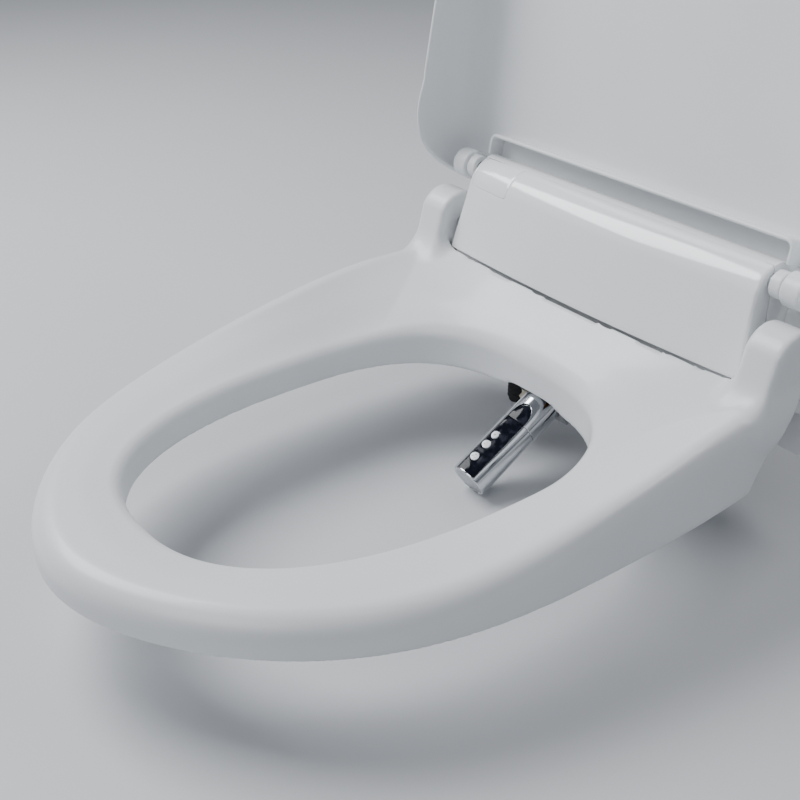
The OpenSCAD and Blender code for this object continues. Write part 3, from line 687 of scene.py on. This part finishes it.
def lid_rim():
    half = []
    for a in np.radians(np.linspace(0, 90, 71)):
        y = -LID_FRONT + NOSE * (1 - math.cos(a))
        half.append((outline_x(y, LID_HALF, LID_FRONT), y))
    for t in np.linspace(0, 1, 34)[1:]:
        half.append((LID_HALF - 1.5 * t * t, mix(NOSE - LID_FRONT, 12, t)))
    for a in np.radians(np.linspace(0, 90, 17))[1:]:
        half.append((LID_HALF - 1.5 - 22 * (1 - math.cos(a)), 12 + 22 * math.sin(a)))
    half += [(171.5 * (1 - t), 34.0) for t in np.linspace(0, 1, 36)[1:]]
    half = np.array(half)
    return np.concatenate([half, half[-2:0:-1] * (-1, 1)])


def panel_z(y):
    """The inner face of the closed lid's top."""
    return LID_PIVOT[1] + 20 / math.cos(math.atan(LID_SLOPE)) + (y - LID_PIVOT[0]) * LID_SLOPE


def skirt_z(y):
    """The lower edge of the skirt: it follows the ring, then lifts clear of the hinge."""
    run = mix(42, 90, np.clip((y + LID_FRONT) / (LID_FRONT - 30), 0, 1) ** 1.25)
    lift = 146 - np.sqrt(np.maximum(0, 56 ** 2 - np.maximum(0, y + 22) ** 2))
    return np.where(y < -34, run, np.maximum(run, lift))


def opened(points):
    """Closed-lid points swung to the open lid."""
    a = math.radians(-LID_OPEN)
    points = np.array(points, float)
    y, z = points[..., 1] - LID_PIVOT[0], points[..., 2] - LID_PIVOT[1]
    points[..., 1] = LID_PIVOT[0] + y * math.cos(a) - z * math.sin(a)
    points[..., 2] = LID_PIVOT[1] + y * math.sin(a) + z * math.cos(a)
    return points


# %% Lid rings
def lid_rings():
    rim = lid_rim()
    reach = np.linalg.norm(rim - LID_CORE, axis=1)
    towards = (rim - LID_CORE) / reach[:, None]
    rear = smooth((177 - np.abs(rim[:, 0])) / 8) * (rim[:, 1] > 20)
    low = mix(skirt_z(rim[:, 1]), panel_z(rim[:, 1]) - 1.5, rear) + 2

    def ring(inset, up, depth=0.0):
        spot = rim - towards * np.minimum(inset, reach * 0.97)[:, None]
        dome = 3 * (1 - ((spot[:, 0] / 200) ** 2 + ((spot[:, 1] + 170) / 260) ** 2))
        top = panel_z(spot[:, 1]) + LID_WALL + dome
        z = mix(low, top, up) - depth * mix(up, 0.6 * min(up * 3, 1), rear * (1 - up ** 4))
        return np.stack([spot[:, 0], spot[:, 1], z], 1)

    rings = [ring(reach * share, 1.0) for share in (0.97, 0.8, 0.6, 0.45, 0.33)]
    rings += [ring(np.full_like(reach, inset), 1.0) for inset in (48.0, 34.0, 25.0)]
    for a in np.radians(np.linspace(90, 0, 17)):
        rings.append(ring(21 * (1 - math.cos(a)), 0.45 + 0.55 * math.sin(a) ** 0.8))
    rings += [ring(0.0, up) for up in (0.3, 0.15, 0.0)]
    for a in np.radians(np.linspace(0, 180, 9))[1:-1]:
        edge = ring(2 - 2 * math.cos(a), 0.0)
        edge[:, 2] -= 2 * math.sin(a)
        rings.append(edge)
    rings += [ring(4.0, up, LID_WALL) for up in (0.0, 0.14, 0.28)]
    kink = math.radians(14)
    for a in np.radians(np.linspace(14, 90, 14)):
        inset = 4 + 26 * (math.cos(kink) - math.cos(a)) / math.cos(kink)
        share = (math.sin(a) - math.sin(kink)) / (1 - math.sin(kink))
        rings.append(ring(inset, 0.42 + 0.58 * share, LID_WALL))
    rings += [ring(np.full_like(reach, inset), 1.0, LID_WALL) for inset in (38.0, 52.0)]
    rings += [ring(reach * share, 1.0, LID_WALL) for share in (0.33, 0.45, 0.6, 0.8, 0.97)]
    return np.array(rings)


lid_mesh = rings_mesh("lid", opened(lid_rings()))
piece("lid_moulding", lid_mesh, "satin_lid", "lid", ("lid_shell",), degrees=32)

# %% [markdown]
# ## Lip and knuckles
# A thin lip on the lid's inner face frames the pocket that the housing fills when the lid is
# down. At each end a knuckle carries the lid on its pin: a drum, a web up to the lid, and a
# slimmer boss towards the housing with a narrow groove between. They are mouldings with soft
# fillets, so a field shapes them; the lip is one section swept round its corners.

# %% Lip round the pocket
LIP_X, LIP_FRONT = 148.5, -6.5


def lip_path():
    path = [(-LIP_X, y) for y in np.linspace(9, LIP_FRONT + 5.5, 5)]
    for a in np.radians(np.linspace(0, 90, 8))[1:]:
        path.append((-LIP_X + 5.5 * (1 - math.cos(a)), LIP_FRONT + 5.5 * (1 - math.sin(a))))
    path += [(x, LIP_FRONT) for x in np.linspace(-LIP_X + 5.5, LIP_X - 5.5, 40)[1:-1]]
    mirrored = [(-x, y) for x, y in path[:12]][::-1]
    return np.array(path + mirrored)


def lip_rings():
    path = lip_path()
    along = np.gradient(path, axis=0)
    across = np.stack([along[:, 1], -along[:, 0]], 1) / np.linalg.norm(along, axis=1)[:, None]
    rings = []
    for (x, y), (ux, uy) in zip(path, across):
        low, top = 138 + 0.18 * max(0, y + 8), panel_z(y) + 1.5
        section = [(1.5, top)]
        for a in np.radians(np.linspace(0, 180, 9)):
            section.append((1.5 * math.cos(a), low + 1.5 - 1.5 * math.sin(a)))
        section.append((-1.5, top))
        rings.append([(x + ux * w, y + uy * w, z) for w, z in section])
    return np.array(rings)


# %% Knuckles
def knuckle(x, y, z):
    away = np.hypot(y - LID_PIVOT[0], z - LID_PIVOT[1])
    drum = both(away - 11.4, np.abs(x - 165.2) - 7.4, 1.6)
    web = both(np.abs(y - 22.3) - 10.2 - (z - 138) * 0.03, np.maximum(np.abs(x - 165.2) - 7.3, 137 - z), 1.6)
    web = np.maximum(web, z - (panel_z(y) - 0.8))
    boss = both(away - 9.6, np.abs(x - 152.4) - 4.2, 0.8)
    neck = np.maximum(away - 7.8, np.abs(x - 156) - 7)
    body = np.minimum(either(drum, web, 4), np.minimum(boss, neck))
    bore = np.maximum(away - 5.3, x - 170.3)
    return np.maximum(body, -bore)


points, faces = surface_net(knuckle, (146, 8, 124), (186.5, 36, 164), 1.05)
points = settled(points, knuckle, 1.05)
far_side = mesh_from("knuckle_far", opened(points * (-1, 1, 1)), faces[:, ::-1])
near_side = mesh_from("knuckle_near", opened(points), faces)
hinge_mesh = joined("hinge_frame", rings_mesh("lip", opened(lip_rings())), near_side, far_side)
piece("lid_lip_and_knuckles", hinge_mesh, "satin_lid", "lid", ("lid_hinge_frame",), degrees=40)

# %% [markdown]
# ## The housing
# The front cover is a gloss moulding, bowed forward 6 mm and rolled back over the top to a
# seam. It is skinned as a solid, hollowed from inside, and its flap opening is cut through
# by a rounded prism, so that cover and flap come from one surface with a hair gap between.

# %% Front cover section
FACE_LOW, FACE_HIGH = np.array((-8.0, 76.0)), np.array((6.0, 131.0))
ROLL_R, SEAM_Y, COVER_WALL = 24.0, 23.0, 2.6
FLAP_X, FLAP_LOW, FLAP_GAP = (-141.0, -97.0), 129.0, 0.4
face_dir = (FACE_HIGH - FACE_LOW) / np.linalg.norm(FACE_HIGH - FACE_LOW)
roll_centre = FACE_HIGH + ROLL_R * np.array((face_dir[1], -face_dir[0]))
face_lean = math.atan2(face_dir[0], face_dir[1])
COVER_TOP = roll_centre[1] + ROLL_R
COVER_FLARE = 7.0


def cover_ring(x, inset, low, back):
    """The cover's closed section at x, drawn inwards by inset."""
    push = -float(bow(x))
    normal = np.array((face_dir[1], -face_dir[0]))
    line = []
    for t in np.linspace(0, 1, 12):
        line.append(mix(FACE_LOW + face_dir * (low + inset), FACE_HIGH, t) + normal * inset)
    for a in np.linspace(math.pi - face_lean, math.pi / 2, 26)[1:]:
        line.append(roll_centre + (ROLL_R - inset) * np.array((math.cos(a), math.sin(a))))
    line = np.array(line) + (push, 0)
    limit = back - min(inset, 0.6)
    keep = line[:, 0] < limit
    keep_top = roll_centre[1] + math.sqrt(max(0, (ROLL_R - inset) ** 2 - (limit - roll_centre[0] - push) ** 2))
    line[~keep] = (limit, keep_top)
    closing = [(limit, z) for z in np.linspace(keep_top, 76 + low + inset, 6)[1:]]
    flare = COVER_FLARE / COVER_HALF
    ring = []
    for y, z in list(line) + closing:
        wide = flare * (1 - np.clip((z - 76) / 73, 0, 1)) * (1 - smooth((y + 8) / 31))
        ring.append((x * (1 + wide), y, z))
    return ring


def cover_solid(name, low=0.0, back=SEAM_Y):
    edge = [(COVER_HALF - 2.2 * (1 - math.sin(a)), 2.2 * (1 - math.cos(a)))
            for a in np.radians(np.linspace(90, 0, 7))]
    stations = [(-x, d) for x, d in edge] + [(x, 0.0) for x in np.linspace(-140, 140, 57)]
    stations += [(x, d) for x, d in edge[::-1]]
    return rings_mesh(name, [cover_ring(x, d, low, back) for x, d in stations])


def cover_hollow():
    return rings_mesh("hollow", [cover_ring(x, COVER_WALL, -30, 60) for x in np.linspace(-140.9, 140.9, 58)])


def flap_prism(gap, corner):
    x0, x1, z0, z1 = FLAP_X[0] + gap, FLAP_X[1] - gap, FLAP_LOW + gap, 170
    loop = []
    for cx, cz, start in ((x1 - corner, z1 - corner, 0), (x0 + corner, z1 - corner, 90),
                          (x0 + corner, z0 + corner, 180), (x1 - corner, z0 + corner, 270)):
        for a in np.radians(np.linspace(start, start + 90, 8)):
            loop.append((cx + corner * math.cos(a), cz + corner * math.sin(a)))
    return rings_mesh("opening", [[(x, y, z) for x, z in loop] for y in (-30, 30)])


# %% Front cover and flap
shell = cut(cover_solid("cover"), cover_hollow())
cover_mesh = cut(shell, flap_prism(0, 3.5))
for side in (-1, 1):
    for pin_at, pin_size in (((6, 93), 5.0),):
        cover_mesh = cut(cover_mesh, lathe("bore", [(pin_size, -6), (pin_size, 6)], on_x(side * 144, *pin_at), 40))
cover_mesh = applied(cover_mesh, "BEVEL", width=0.35 * MM, segments=2, limit_method="ANGLE",
                     angle_limit=math.radians(50), use_clamp_overlap=True)
piece("housing_front", cover_mesh, "gloss_housing", "base", ("front_cover",), degrees=30)

flap_shell = cut(cover_solid("flap", back=SEAM_Y - FLAP_GAP), cover_hollow())
flap_mesh = cut(flap_shell, flap_prism(FLAP_GAP, 3.1), "INTERSECT")
flap_mesh = cut(flap_mesh, lathe("bore", [(1.05, -60), (1.05, 60)], on_x(-119, 21.4, 146.8), 24))
flap_mesh = applied(flap_mesh, "BEVEL", width=0.3 * MM, segments=2, limit_method="ANGLE",
                    angle_limit=math.radians(50), use_clamp_overlap=True)
piece("service_flap_moulded", flap_mesh, "gloss_housing", "flap", ("service_flap",), degrees=30)
softened("rear_cover", 0.9, "gloss_housing")
softened("base_tray", 0.8, "textured_chassis")

# %% [markdown]
# ## The spray wand
# The wand is a drawn tube, polished, with a narrow flat planed along its upper side and
# turned 12 degrees. A glossy dark strip lies in the flat and ends in a half-ellipse. The tip
# sleeve meets the tube at a fine seam. Three white discs stand in the strip, each drilled.

# %% Wand frame
WAND_END = Vector((0, -111, -42))
WAND_R, TIP_LEN, TAIL_S, WAND_LEN, TAIL_R = 15.0, 57.0, 126.0, 144.0, 9.0
FLAT_HALF, FLAT_Y, FLAT_ROLL = 8.0, 12.6, 12.0
DISC_S, DISC_X = (15.5, 28.5, 38.5), -4.0
along_wand = Matrix.Translation(WAND_END) @ Matrix.Rotation(math.radians(120), 4, "X")
on_flat = along_wand @ Matrix.Rotation(math.radians(-FLAT_ROLL), 4, "Z")


def slot_outline(half, s0, s1, tip, steps=14):
    """A long loop with a half-ellipse at its rear end, as (x, s)."""
    loop = [(-half, s1)] + [(-half, s0), (half, s0)] + [(half, s1)]
    arc = [(half * math.cos(a), s1 + tip * math.sin(a)) for a in np.linspace(0, math.pi, steps)[1:-1]]
    return loop + arc if tip else loop


def flat_slab(name, loop, low, high, soft=0.0):
    """A slab of an (x, s) loop standing on the flat."""
    rings = []
    centre = np.mean(np.array(loop), axis=0)
    for y, inset in ((low, 0), (high - soft, 0), (high - soft * 0.3, soft * 0.3), (high, soft)) if soft else \
            ((low, 0), (high, 0)):
        ring = []
        for x, s in loop:
            dx, ds = np.sign(x) * min(inset, abs(x)), np.sign(s - centre[1]) * inset
            ring.append(on_flat @ Vector((x - dx, y, -(s - ds))))
        rings.append(ring)
    return rings_mesh(name, rings)


# %% Tube and tip sleeve
wand_pocket = flat_slab("pocket", slot_outline(8.3, 1.2, 60.5, 12.7), 11.45, 22)
tube_line = [(0, -WAND_LEN), (TAIL_R - 0.5, -WAND_LEN), (TAIL_R, -WAND_LEN + 0.5), (TAIL_R, -TAIL_S - 1),
             (TAIL_R + 0.6, -TAIL_S), (WAND_R - 0.6, -TAIL_S), (WAND_R, -TAIL_S + 0.6),
             (WAND_R, -TIP_LEN - 0.65), (WAND_R - 0.3, -TIP_LEN - 0.3), (13.6, -TIP_LEN - 0.3), (0, -TIP_LEN - 0.3)]
tube_mesh = cut(lathe("tube", tube_line, along_wand, 96), wand_pocket)
tube_bore = lathe("bore", [(4, -WAND_LEN - 3), (4, -TIP_LEN - 9)], along_wand, 32)
piece("wand_tube_polished", cut(tube_mesh, tube_bore), "polished_wand", "wand",
      ("wand_tube",), degrees=30)

tip_line = [(0, -TIP_LEN), (13.6, -TIP_LEN), (WAND_R - 0.3, -TIP_LEN), (WAND_R, -TIP_LEN + 0.35),
            (WAND_R, -0.9), (WAND_R - 0.25, -0.3), (WAND_R - 0.8, -0.02), (13.5, -0.05), (13.2, -0.6), (0, -0.6)]
tip_mesh = cut(lathe("tip", tip_line, along_wand, 96), wand_pocket)
for disc_s in DISC_S:
    socket_place = on_flat @ Matrix.Translation((DISC_X, 4, -disc_s)) @ Matrix.Rotation(math.radians(-90), 4, "X")
    tip_mesh = cut(tip_mesh, lathe("socket", [(2.6, 0), (2.6, 20)], socket_place, 32))
piece("wand_tip_sleeve", tip_mesh, "polished_wand", "wand", ("wand_tip",), degrees=30)
cap_line = [(0, -0.62), (12.9, -0.62), (12.9, -0.4), (12.5, -0.25), (0, -0.25)]
piece("wand_end_face", lathe("cap", cap_line, along_wand, 64), "wand_face", "wand", degrees=30)

# %% Dark strip and spray discs
strip_front = flat_slab("strip_front", slot_outline(7.75, 1.7, 56.75, 0), 11.5, 12.65, 0.35)
strip_rear = flat_slab("strip_rear", slot_outline(7.75, 57.2, 60.5, 12.1), 11.5, 12.65, 0.35)
for disc_s in DISC_S:
    place = on_flat @ Matrix.Translation((DISC_X, 4, -disc_s)) @ Matrix.Rotation(math.radians(-90), 4, "X")
    strip_front = cut(strip_front, lathe("hole", [(3.6, 0), (3.6, 20)], place, 40))
piece("dark_strip", joined("strip", strip_front, strip_rear), "glassy_strip", "wand",
      ("spray_inset",), degrees=30)


def disc_mesh(s, wide, long, drilled):
    """A spray disc with a rounded rim, its nozzle stem, and drilled holes."""
    place = on_flat @ Matrix.Translation((DISC_X, 4.2, -s)) @ Matrix.Rotation(math.radians(-90), 4, "X")
    profile = [(2.5, 0), (2.5, 6.6), (3.45, 7.3), (3.45, 8.75), (3.3, 8.95), (3.0, 9.0), (0, 8.9)]
    turn = np.linspace(0, 2 * math.pi, 49)[:-1]
    rings = [[place @ Vector((max(r, 0.001) * wide * math.cos(a), max(r, 0.001) * long * math.sin(a), h))
              for a in turn] for r, h in profile]
    disc = rings_mesh("disc", rings)
    for x, y, r in drilled:
        hole = lathe("drill", [(r, 6), (r, 12)], place @ Matrix.Translation((x, y, 0)), 16)
        disc = cut(disc, hole)
    return disc


three = [(1.35 * math.cos(a), 1.35 * math.sin(a), 0.42) for a in np.radians((90, 210, 330))]
discs = joined("discs", disc_mesh(DISC_S[0], 1, 1, three), disc_mesh(DISC_S[1], 1, 1, three),
               disc_mesh(DISC_S[2], 0.8, 0.98, [(0, 0, 0.6)]))
piece("spray_disc_set", discs, "disc_white", "wand", ("spray_discs",), degrees=30)

# %% [markdown]
# ## Mounting hardware and turned parts
# Bolts, plugs, bumpers and the brass inlet are turned or moulded round, so each one is a
# profile spun about its own axis. Threads are cut as rings: at this size a helix looks the
# same, and rings keep the profile simple to read.

# %% Threads and profiles
UPRIGHT = Matrix.Identity(4)


def threaded(radius, depth, start, end, pitch):
    """Profile points of a thread from start to end along the axis."""
    count = int(abs(end - start) / pitch)
    line = []
    for i in range(count):
        at = start + (end - start) * (i + 0.5) / count
        half = (end - start) / count / 2
        line += [(radius - depth, at - half * 0.98), (radius, at - half * 0.25), (radius, at + half * 0.25)]
    return line + [(radius - depth, end)]


def at_bolts(profile, name, sides=48):
    places = [Matrix.Translation((side * 70, 0, 0)) for side in (-1, 1)]
    return joined(name, *[lathe(name, profile, place, sides) for place in places])


bolt_line = [(0, -46), (3.2, -46), (4, -45)] + threaded(4, 0.45, -44.6, 5.5, 1.25) + [(3.9, 5.8), (3.9, 8), (5.6, 8)]
shank = at_bolts(bolt_line + [(6.2, 8.4), (6.2, 10), (5.6, 10.4), (0, 10.4)], "bolt", 36)
piece("bolts_threaded", shank, "zinc_steel", "base", ("mounting_bolts",), degrees=35)
washer_line = [(4.15, 6.8), (8.2, 6.8), (8.5, 7.05), (8.5, 7.75), (8.2, 8.0), (4.15, 8.0)]


def ring_lathe(name, profile, place, sides=48):
    """A turned ring: the profile closes on itself and leaves the axis open."""
    turn = [2 * math.pi * k / sides for k in range(sides)]
    rings = [[place @ Vector((r * math.cos(a), r * math.sin(a), z)) for r, z in profile] for a in turn]
    return rings_mesh(name, rings, closed_along=True)


washers = joined("washers", *[ring_lathe("washer", washer_line, Matrix.Translation((side * 70, 0, 0)))
                              for side in (-1, 1)])
piece("washers_turned", washers, "zinc_steel", "base", ("bolt_washers",))
plug_line = [(0, -40), (4.6, -40), (5.4, -39)] + threaded(7, 0.8, -36, -1.2, 3.4) + [(6.4, 0), (0, 0)]
piece("plugs_ribbed", at_bolts(plug_line, "plug"), "dark_rubber", "base", ("expansion_plugs",))

bumper_line = [(0, 0), (7.2, 0), (8.4, 0.5), (9, 1.8), (9, 8.4), (8.4, 9.8), (7.6, 10.2), (4, 10.3), (4, 14.2), (0, 14.2)]
seat_bumpers = [lathe("bumper", bumper_line, Matrix.Translation((x, y, 0)), 48)
                for x, y in ((-148, -120), (148, -120), (-112, -340), (112, -340))]
piece("seat_bumpers_moulded", joined("bumpers", *seat_bumpers), "dark_rubber", "seat", ("seat_bumpers",))
inlet_line = [(7.5, -24), (7.5, 0), (9.0, 0), (9.6, -0.6)] + threaded(10.4, 0.9, -1.2, -13.6, 1.8)
inlet_line += [(9.6, -14), (9.6, -17), (12.6, -17), (13, -17.4), (13, -21.6), (12.6, -22), (9.6, -22), (9.6, -24)]
to_left = Matrix.Translation((-200, 60, 26)) @ Matrix.Rotation(math.radians(-90), 4, "Y")
piece("inlet_threaded", ring_lathe("inlet", inlet_line, to_left, 64), "machined_brass", "base",
      ("inlet_fitting",), degrees=32)
pins = []
for side in (-1, 1):
    pin_line = [(0, -16), (4.5, -16), (5, -15.5), (5, 15.5), (4.5, 16), (0, 16)]
    pins.append(lathe("pin", pin_line, on_x(side * 154, 22, 138), 40))
piece("lid_pins_turned", joined("pins", *pins), "zinc_steel", "base", ("lid_hinge_pins",))

# %% [markdown]
# ## Repeated and routed parts
# The fan blades, the screws, the wound spring and the hoses repeat a shape or follow a path,
# so small node trees grow them. Each tree takes its sizes as named inputs and leaves one
# plain mesh.

# %% Growing a mesh from a node tree
def grown(name, inputs, build, base=None):
    """Runs a geometry tree with named size inputs and returns the plain mesh."""
    tree = bpy.data.node_groups.new(name, "GeometryNodeTree")
    tree.interface.new_socket("Geometry", in_out="INPUT", socket_type="NodeSocketGeometry")
    names = {}
    for key, value in inputs.items():
        kind = "NodeSocketInt" if isinstance(value, int) else "NodeSocketFloat"
        names[key] = tree.interface.new_socket(key, in_out="INPUT", socket_type=kind).identifier
    tree.interface.new_socket("Geometry", in_out="OUTPUT", socket_type="NodeSocketGeometry")
    source, target = tree.nodes.new("NodeGroupInput"), tree.nodes.new("NodeGroupOutput")

    def add(kind, settings=None, **links):
        made = tree.nodes.new(kind)
        for key, value in (settings or {}).items():
            setattr(made, key, value)
        for key, value in links.items():
            socket = made.inputs[key.replace("_", " ")]
            if isinstance(value, bpy.types.NodeSocket):
                tree.links.new(value, socket)
            else:
                socket.default_value = value
        return made

    shape = build(add, source.outputs)
    real = add("GeometryNodeRealizeInstances", Geometry=shape)
    coat = add("GeometryNodeSetMaterial", Geometry=real.outputs[0])
    tree.links.new(coat.outputs[0], target.inputs[0])
    holder = bpy.data.objects.new(name, base or bpy.data.meshes.new(name))
    bpy.context.scene.collection.objects.link(holder)
    modifier = holder.modifiers.new(name, "NODES")
    modifier.node_group = tree
    for key, value in inputs.items():
        modifier[names[key]] = value
    result = bpy.data.meshes.new_from_object(holder.evaluated_get(bpy.context.evaluated_depsgraph_get()))
    bpy.data.objects.remove(holder)
    return result


def marks(name, points, edges=()):
    mesh = bpy.data.meshes.new(name)
    mesh.from_pydata([tuple(c * MM for c in p) for p in points], list(edges), [])
    return mesh


# %% Fans
def blade_tree(add, sizes):
    ring = add("GeometryNodeMeshCircle", Vertices=sizes["Blades"], Radius=sizes["Radius"])
    shape = add("ShaderNodeCombineXYZ", X=sizes["Chord"], Y=0.0009, Z=sizes["Depth"])
    blade = add("GeometryNodeMeshCube", Size=shape.outputs[0])
    lean = add("FunctionNodeAlignRotationToVector", {"axis": "X"}, Vector=add("GeometryNodeInputPosition").outputs[0])
    tilt = add("FunctionNodeRotateRotation", {"rotation_space": "LOCAL"}, Rotation=lean.outputs[0],
               Rotate_By=(0, 0, 0.5))
    return add("GeometryNodeInstanceOnPoints", Points=ring.outputs[0], Instance=blade.outputs[0],
               Rotation=tilt.outputs[0]).outputs[0]


def rotor(name, body, node, x, y, z, radius, width, blades):
    sizes = {"Blades": blades, "Radius": (radius - 3.2) * MM, "Chord": 5.2 * MM, "Depth": (width - 1.0) * MM}
    vanes = grown(name, sizes, blade_tree)
    place = on_x(x, y, z)
    vanes.transform(Matrix.Translation(Vector(place.translation) * MM) @ place.to_3x3().to_4x4()
                    @ Matrix.Translation((0, 0, (width - 1.0) / 2 * MM)))
    hub_line = [(1.6, 0), (3.6, 0), (4, 0.4), (4, width - 2), (5, width - 1.4), (radius - 0.4, width - 1.2),
                (radius, width - 0.8), (radius - 0.4, width), (1.6, width)]
    hub = ring_lathe("hub", hub_line, place, 48)
    piece(name, joined(name, vanes, hub), "ivory_plastic", body, (node,))


rotor("dryer_wheel", "dryer_fan", "dryer_rotor", 34, 52, 86, 15, 14, 18)
rotor("deodoriser_wheel", "deodoriser_fan", "deodoriser_rotor", 87, 56, 88, 11, 12, 14)


# %% Spring, hoses and screws
def spring_tree(add, sizes):
    spiral = add("GeometryNodeCurveSpiral", Resolution=28, Rotations=sizes["Turns"], Start_Radius=sizes["Radius"],
                 End_Radius=sizes["Radius"], Height=sizes["Length"])
    wire = add("GeometryNodeCurvePrimitiveCircle", Resolution=10, Radius=sizes["Wire"])
    return add("GeometryNodeCurveToMesh", Curve=spiral.outputs[0], Profile_Curve=wire.outputs[0],
               Fill_Caps=True).outputs[0]


spring = grown("spring", {"Turns": 6.0, "Radius": 4 * MM, "Length": 12.0 * MM, "Wire": 0.5 * MM}, spring_tree)
spring.transform(Matrix.Translation((0.168, 0.064, 0.021)) @ Matrix.Rotation(math.radians(90), 4, "Y"))
piece("spring_wound", spring, "zinc_steel", "base", ("latch_spring",))


def hose_tree(add, sizes):
    path = add("GeometryNodeMeshToCurve", Mesh=sizes["Geometry"])
    bent = add("GeometryNodeFilletCurve", Curve=path.outputs[0], Radius=sizes["Bend"])
    for socket in bent.inputs:
        if socket.name == "Mode":
            socket.default_value = "Poly"
        if socket.name == "Count":
            socket.default_value = 8
    wall = add("GeometryNodeCurvePrimitiveCircle", Resolution=20, Radius=sizes["Tube"])
    return add("GeometryNodeCurveToMesh", Curve=bent.outputs[0], Profile_Curve=wall.outputs[0],
               Fill_Caps=True).outputs[0]


runs = [[(-146, 60, 26), (-143, 60, 26)], [(-131, 60, 26), (-124, 60, 26)],
        [(-90, 60, 66), (-90, 60, 86), (-128, 60, 86)],
        [(-138, 60, 100), (-138, 60, 109), (-38, 60, 109), (-38, 60, 104)]]
hoses = []
for i, run in enumerate(runs):
    path = marks(f"path_{i}", run, [(k, k + 1) for k in range(len(run) - 1)])
    hoses.append(grown(f"hose_{i}", {"Bend": 5.0 * MM, "Tube": 3.0 * MM}, hose_tree, path))
piece("hoses_routed", joined("hoses", *hoses), "hose_blue", "base", ("water_hoses",))


def screw_tree(add, sizes):
    head = add("GeometryNodeMeshCone", Vertices=24, Side_Segments=1, Radius_Top=sizes["Head"], Radius_Bottom=0.0028,
               Depth=0.0015)
    shank = add("GeometryNodeMeshCylinder", Vertices=16, Radius=sizes["Shank"], Depth=0.0044)
    raised = add("GeometryNodeTransform", Geometry=shank.outputs[0], Translation=(0, 0, 0.0016))
    both_parts = add("GeometryNodeJoinGeometry")
    for part in (head, raised):
        both_parts.id_data.links.new(part.outputs[0], both_parts.inputs[0])
    return add("GeometryNodeInstanceOnPoints", Points=sizes["Geometry"], Instance=both_parts.outputs[0]).outputs[0]


spots = marks("spots", [(x, 66, 7.5) for x in (-172, -100, -40, 40, 100, 172)])
screws = grown("screws", {"Head": 3.2 * MM, "Shank": 1.5 * MM}, screw_tree, spots)
piece("screws_set", screws, "zinc_steel", "base", ("case_screws",))

# %% [markdown]
# ## Parts that keep the frame's shape
# The mounting plate, the guide, the keys and the boxes inside the housing already have the
# right form. Those in view get their moulded edge radii. The sealed-in ones keep the frame's
# mesh and take a finish that suits their stuff.

# %% Softened parts
for node, width, finish, slot in (
        ("mount_plate", 0.6, "textured_chassis", "chassis_white"), ("bolt_guides", 0.3, "dark_plastic", "dark_plastic"),
        ("wand_shroud", 0.5, "grey_plastic", "grey_plastic"), ("release_button", 0.5, "key_grey", "key_grey"),
        ("seat_lower_shell", 0.5, "satin_seat", "seat_white"), ("key_panel", 0.25, "grey_plastic", "grey_plastic"),
        ("power_key", 0.4, "key_grey", "key_grey"), ("wash_key", 0.4, "key_grey", "key_grey"),
        ("cord_gland", 0.4, "dark_rubber", "rubber_dark"), ("lid_bumpers", 0.9, "dark_rubber", "rubber_dark")):
    softened(node, width, finish)

# %% Finishes of the kept parts
KEPT = {
    "seat_hinge_pins": "zinc_steel", "seat_damper": "dark_plastic", "lid_damper": "dark_plastic",
    "flap_pin": "zinc_steel", "wand_motor": "zinc_steel", "motor_bracket": "zinc_steel",
    "wand_rack": "ivory_plastic", "wand_pinion": "ivory_plastic", "key_lens": "clear_lens",
    "inlet_strainer": "zinc_steel", "solenoid_valve": "grey_plastic", "flow_sensor": "ivory_plastic",
    "water_heater": "heater_ceramic", "heater_element": "element_sheath", "water_pump": "dark_plastic",
    "diverter_valve": "ivory_plastic", "dryer_casing": "grey_plastic", "dryer_motor": "dark_plastic",
    "air_duct": "grey_plastic", "deodoriser_casing": "grey_plastic", "carbon_filter": "pressed_carbon",
    "control_board": "lacquered_board", "power_module": "dark_plastic", "seat_heater_foil": "foil_orange",
}
for node, finish in KEPT.items():
    kept = frame["nodes"][node]
    for place in kept.material_slots:
        place.material = FINISHES[finish]
print(len(KEPT), "kept parts finished")

# %% [markdown]
# ## The floor
# A pale floor stands just under the lowest point, and an even grey-white room lights the
# shaded sides.

# %% Floor and room light
low_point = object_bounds()[0].z
floor_mesh = bpy.data.meshes.new("floor")
floor_mesh.from_pydata([(-8, -8, 0), (8, -8, 0), (8, 8, 0), (-8, 8, 0)], [], [(0, 1, 2, 3)])
floor = bpy.data.objects.new("floor", floor_mesh)
floor.location.z = low_point - 0.001
bpy.context.scene.collection.objects.link(floor)
ground = Finish("pale_floor", (0.62, 0.63, 0.65), 0.6)
ground.set("Roughness", 0.55 + ground.noise(6.0) * 0.1)
floor_mesh.materials.append(ground.material)
world = bpy.data.worlds.new("room")
world.use_nodes = True
world.node_tree.nodes["Background"].inputs["Color"].default_value = (0.80, 0.86, 0.95, 1)
world.node_tree.nodes["Background"].inputs["Strength"].default_value = 0.22
bpy.context.scene.world = world
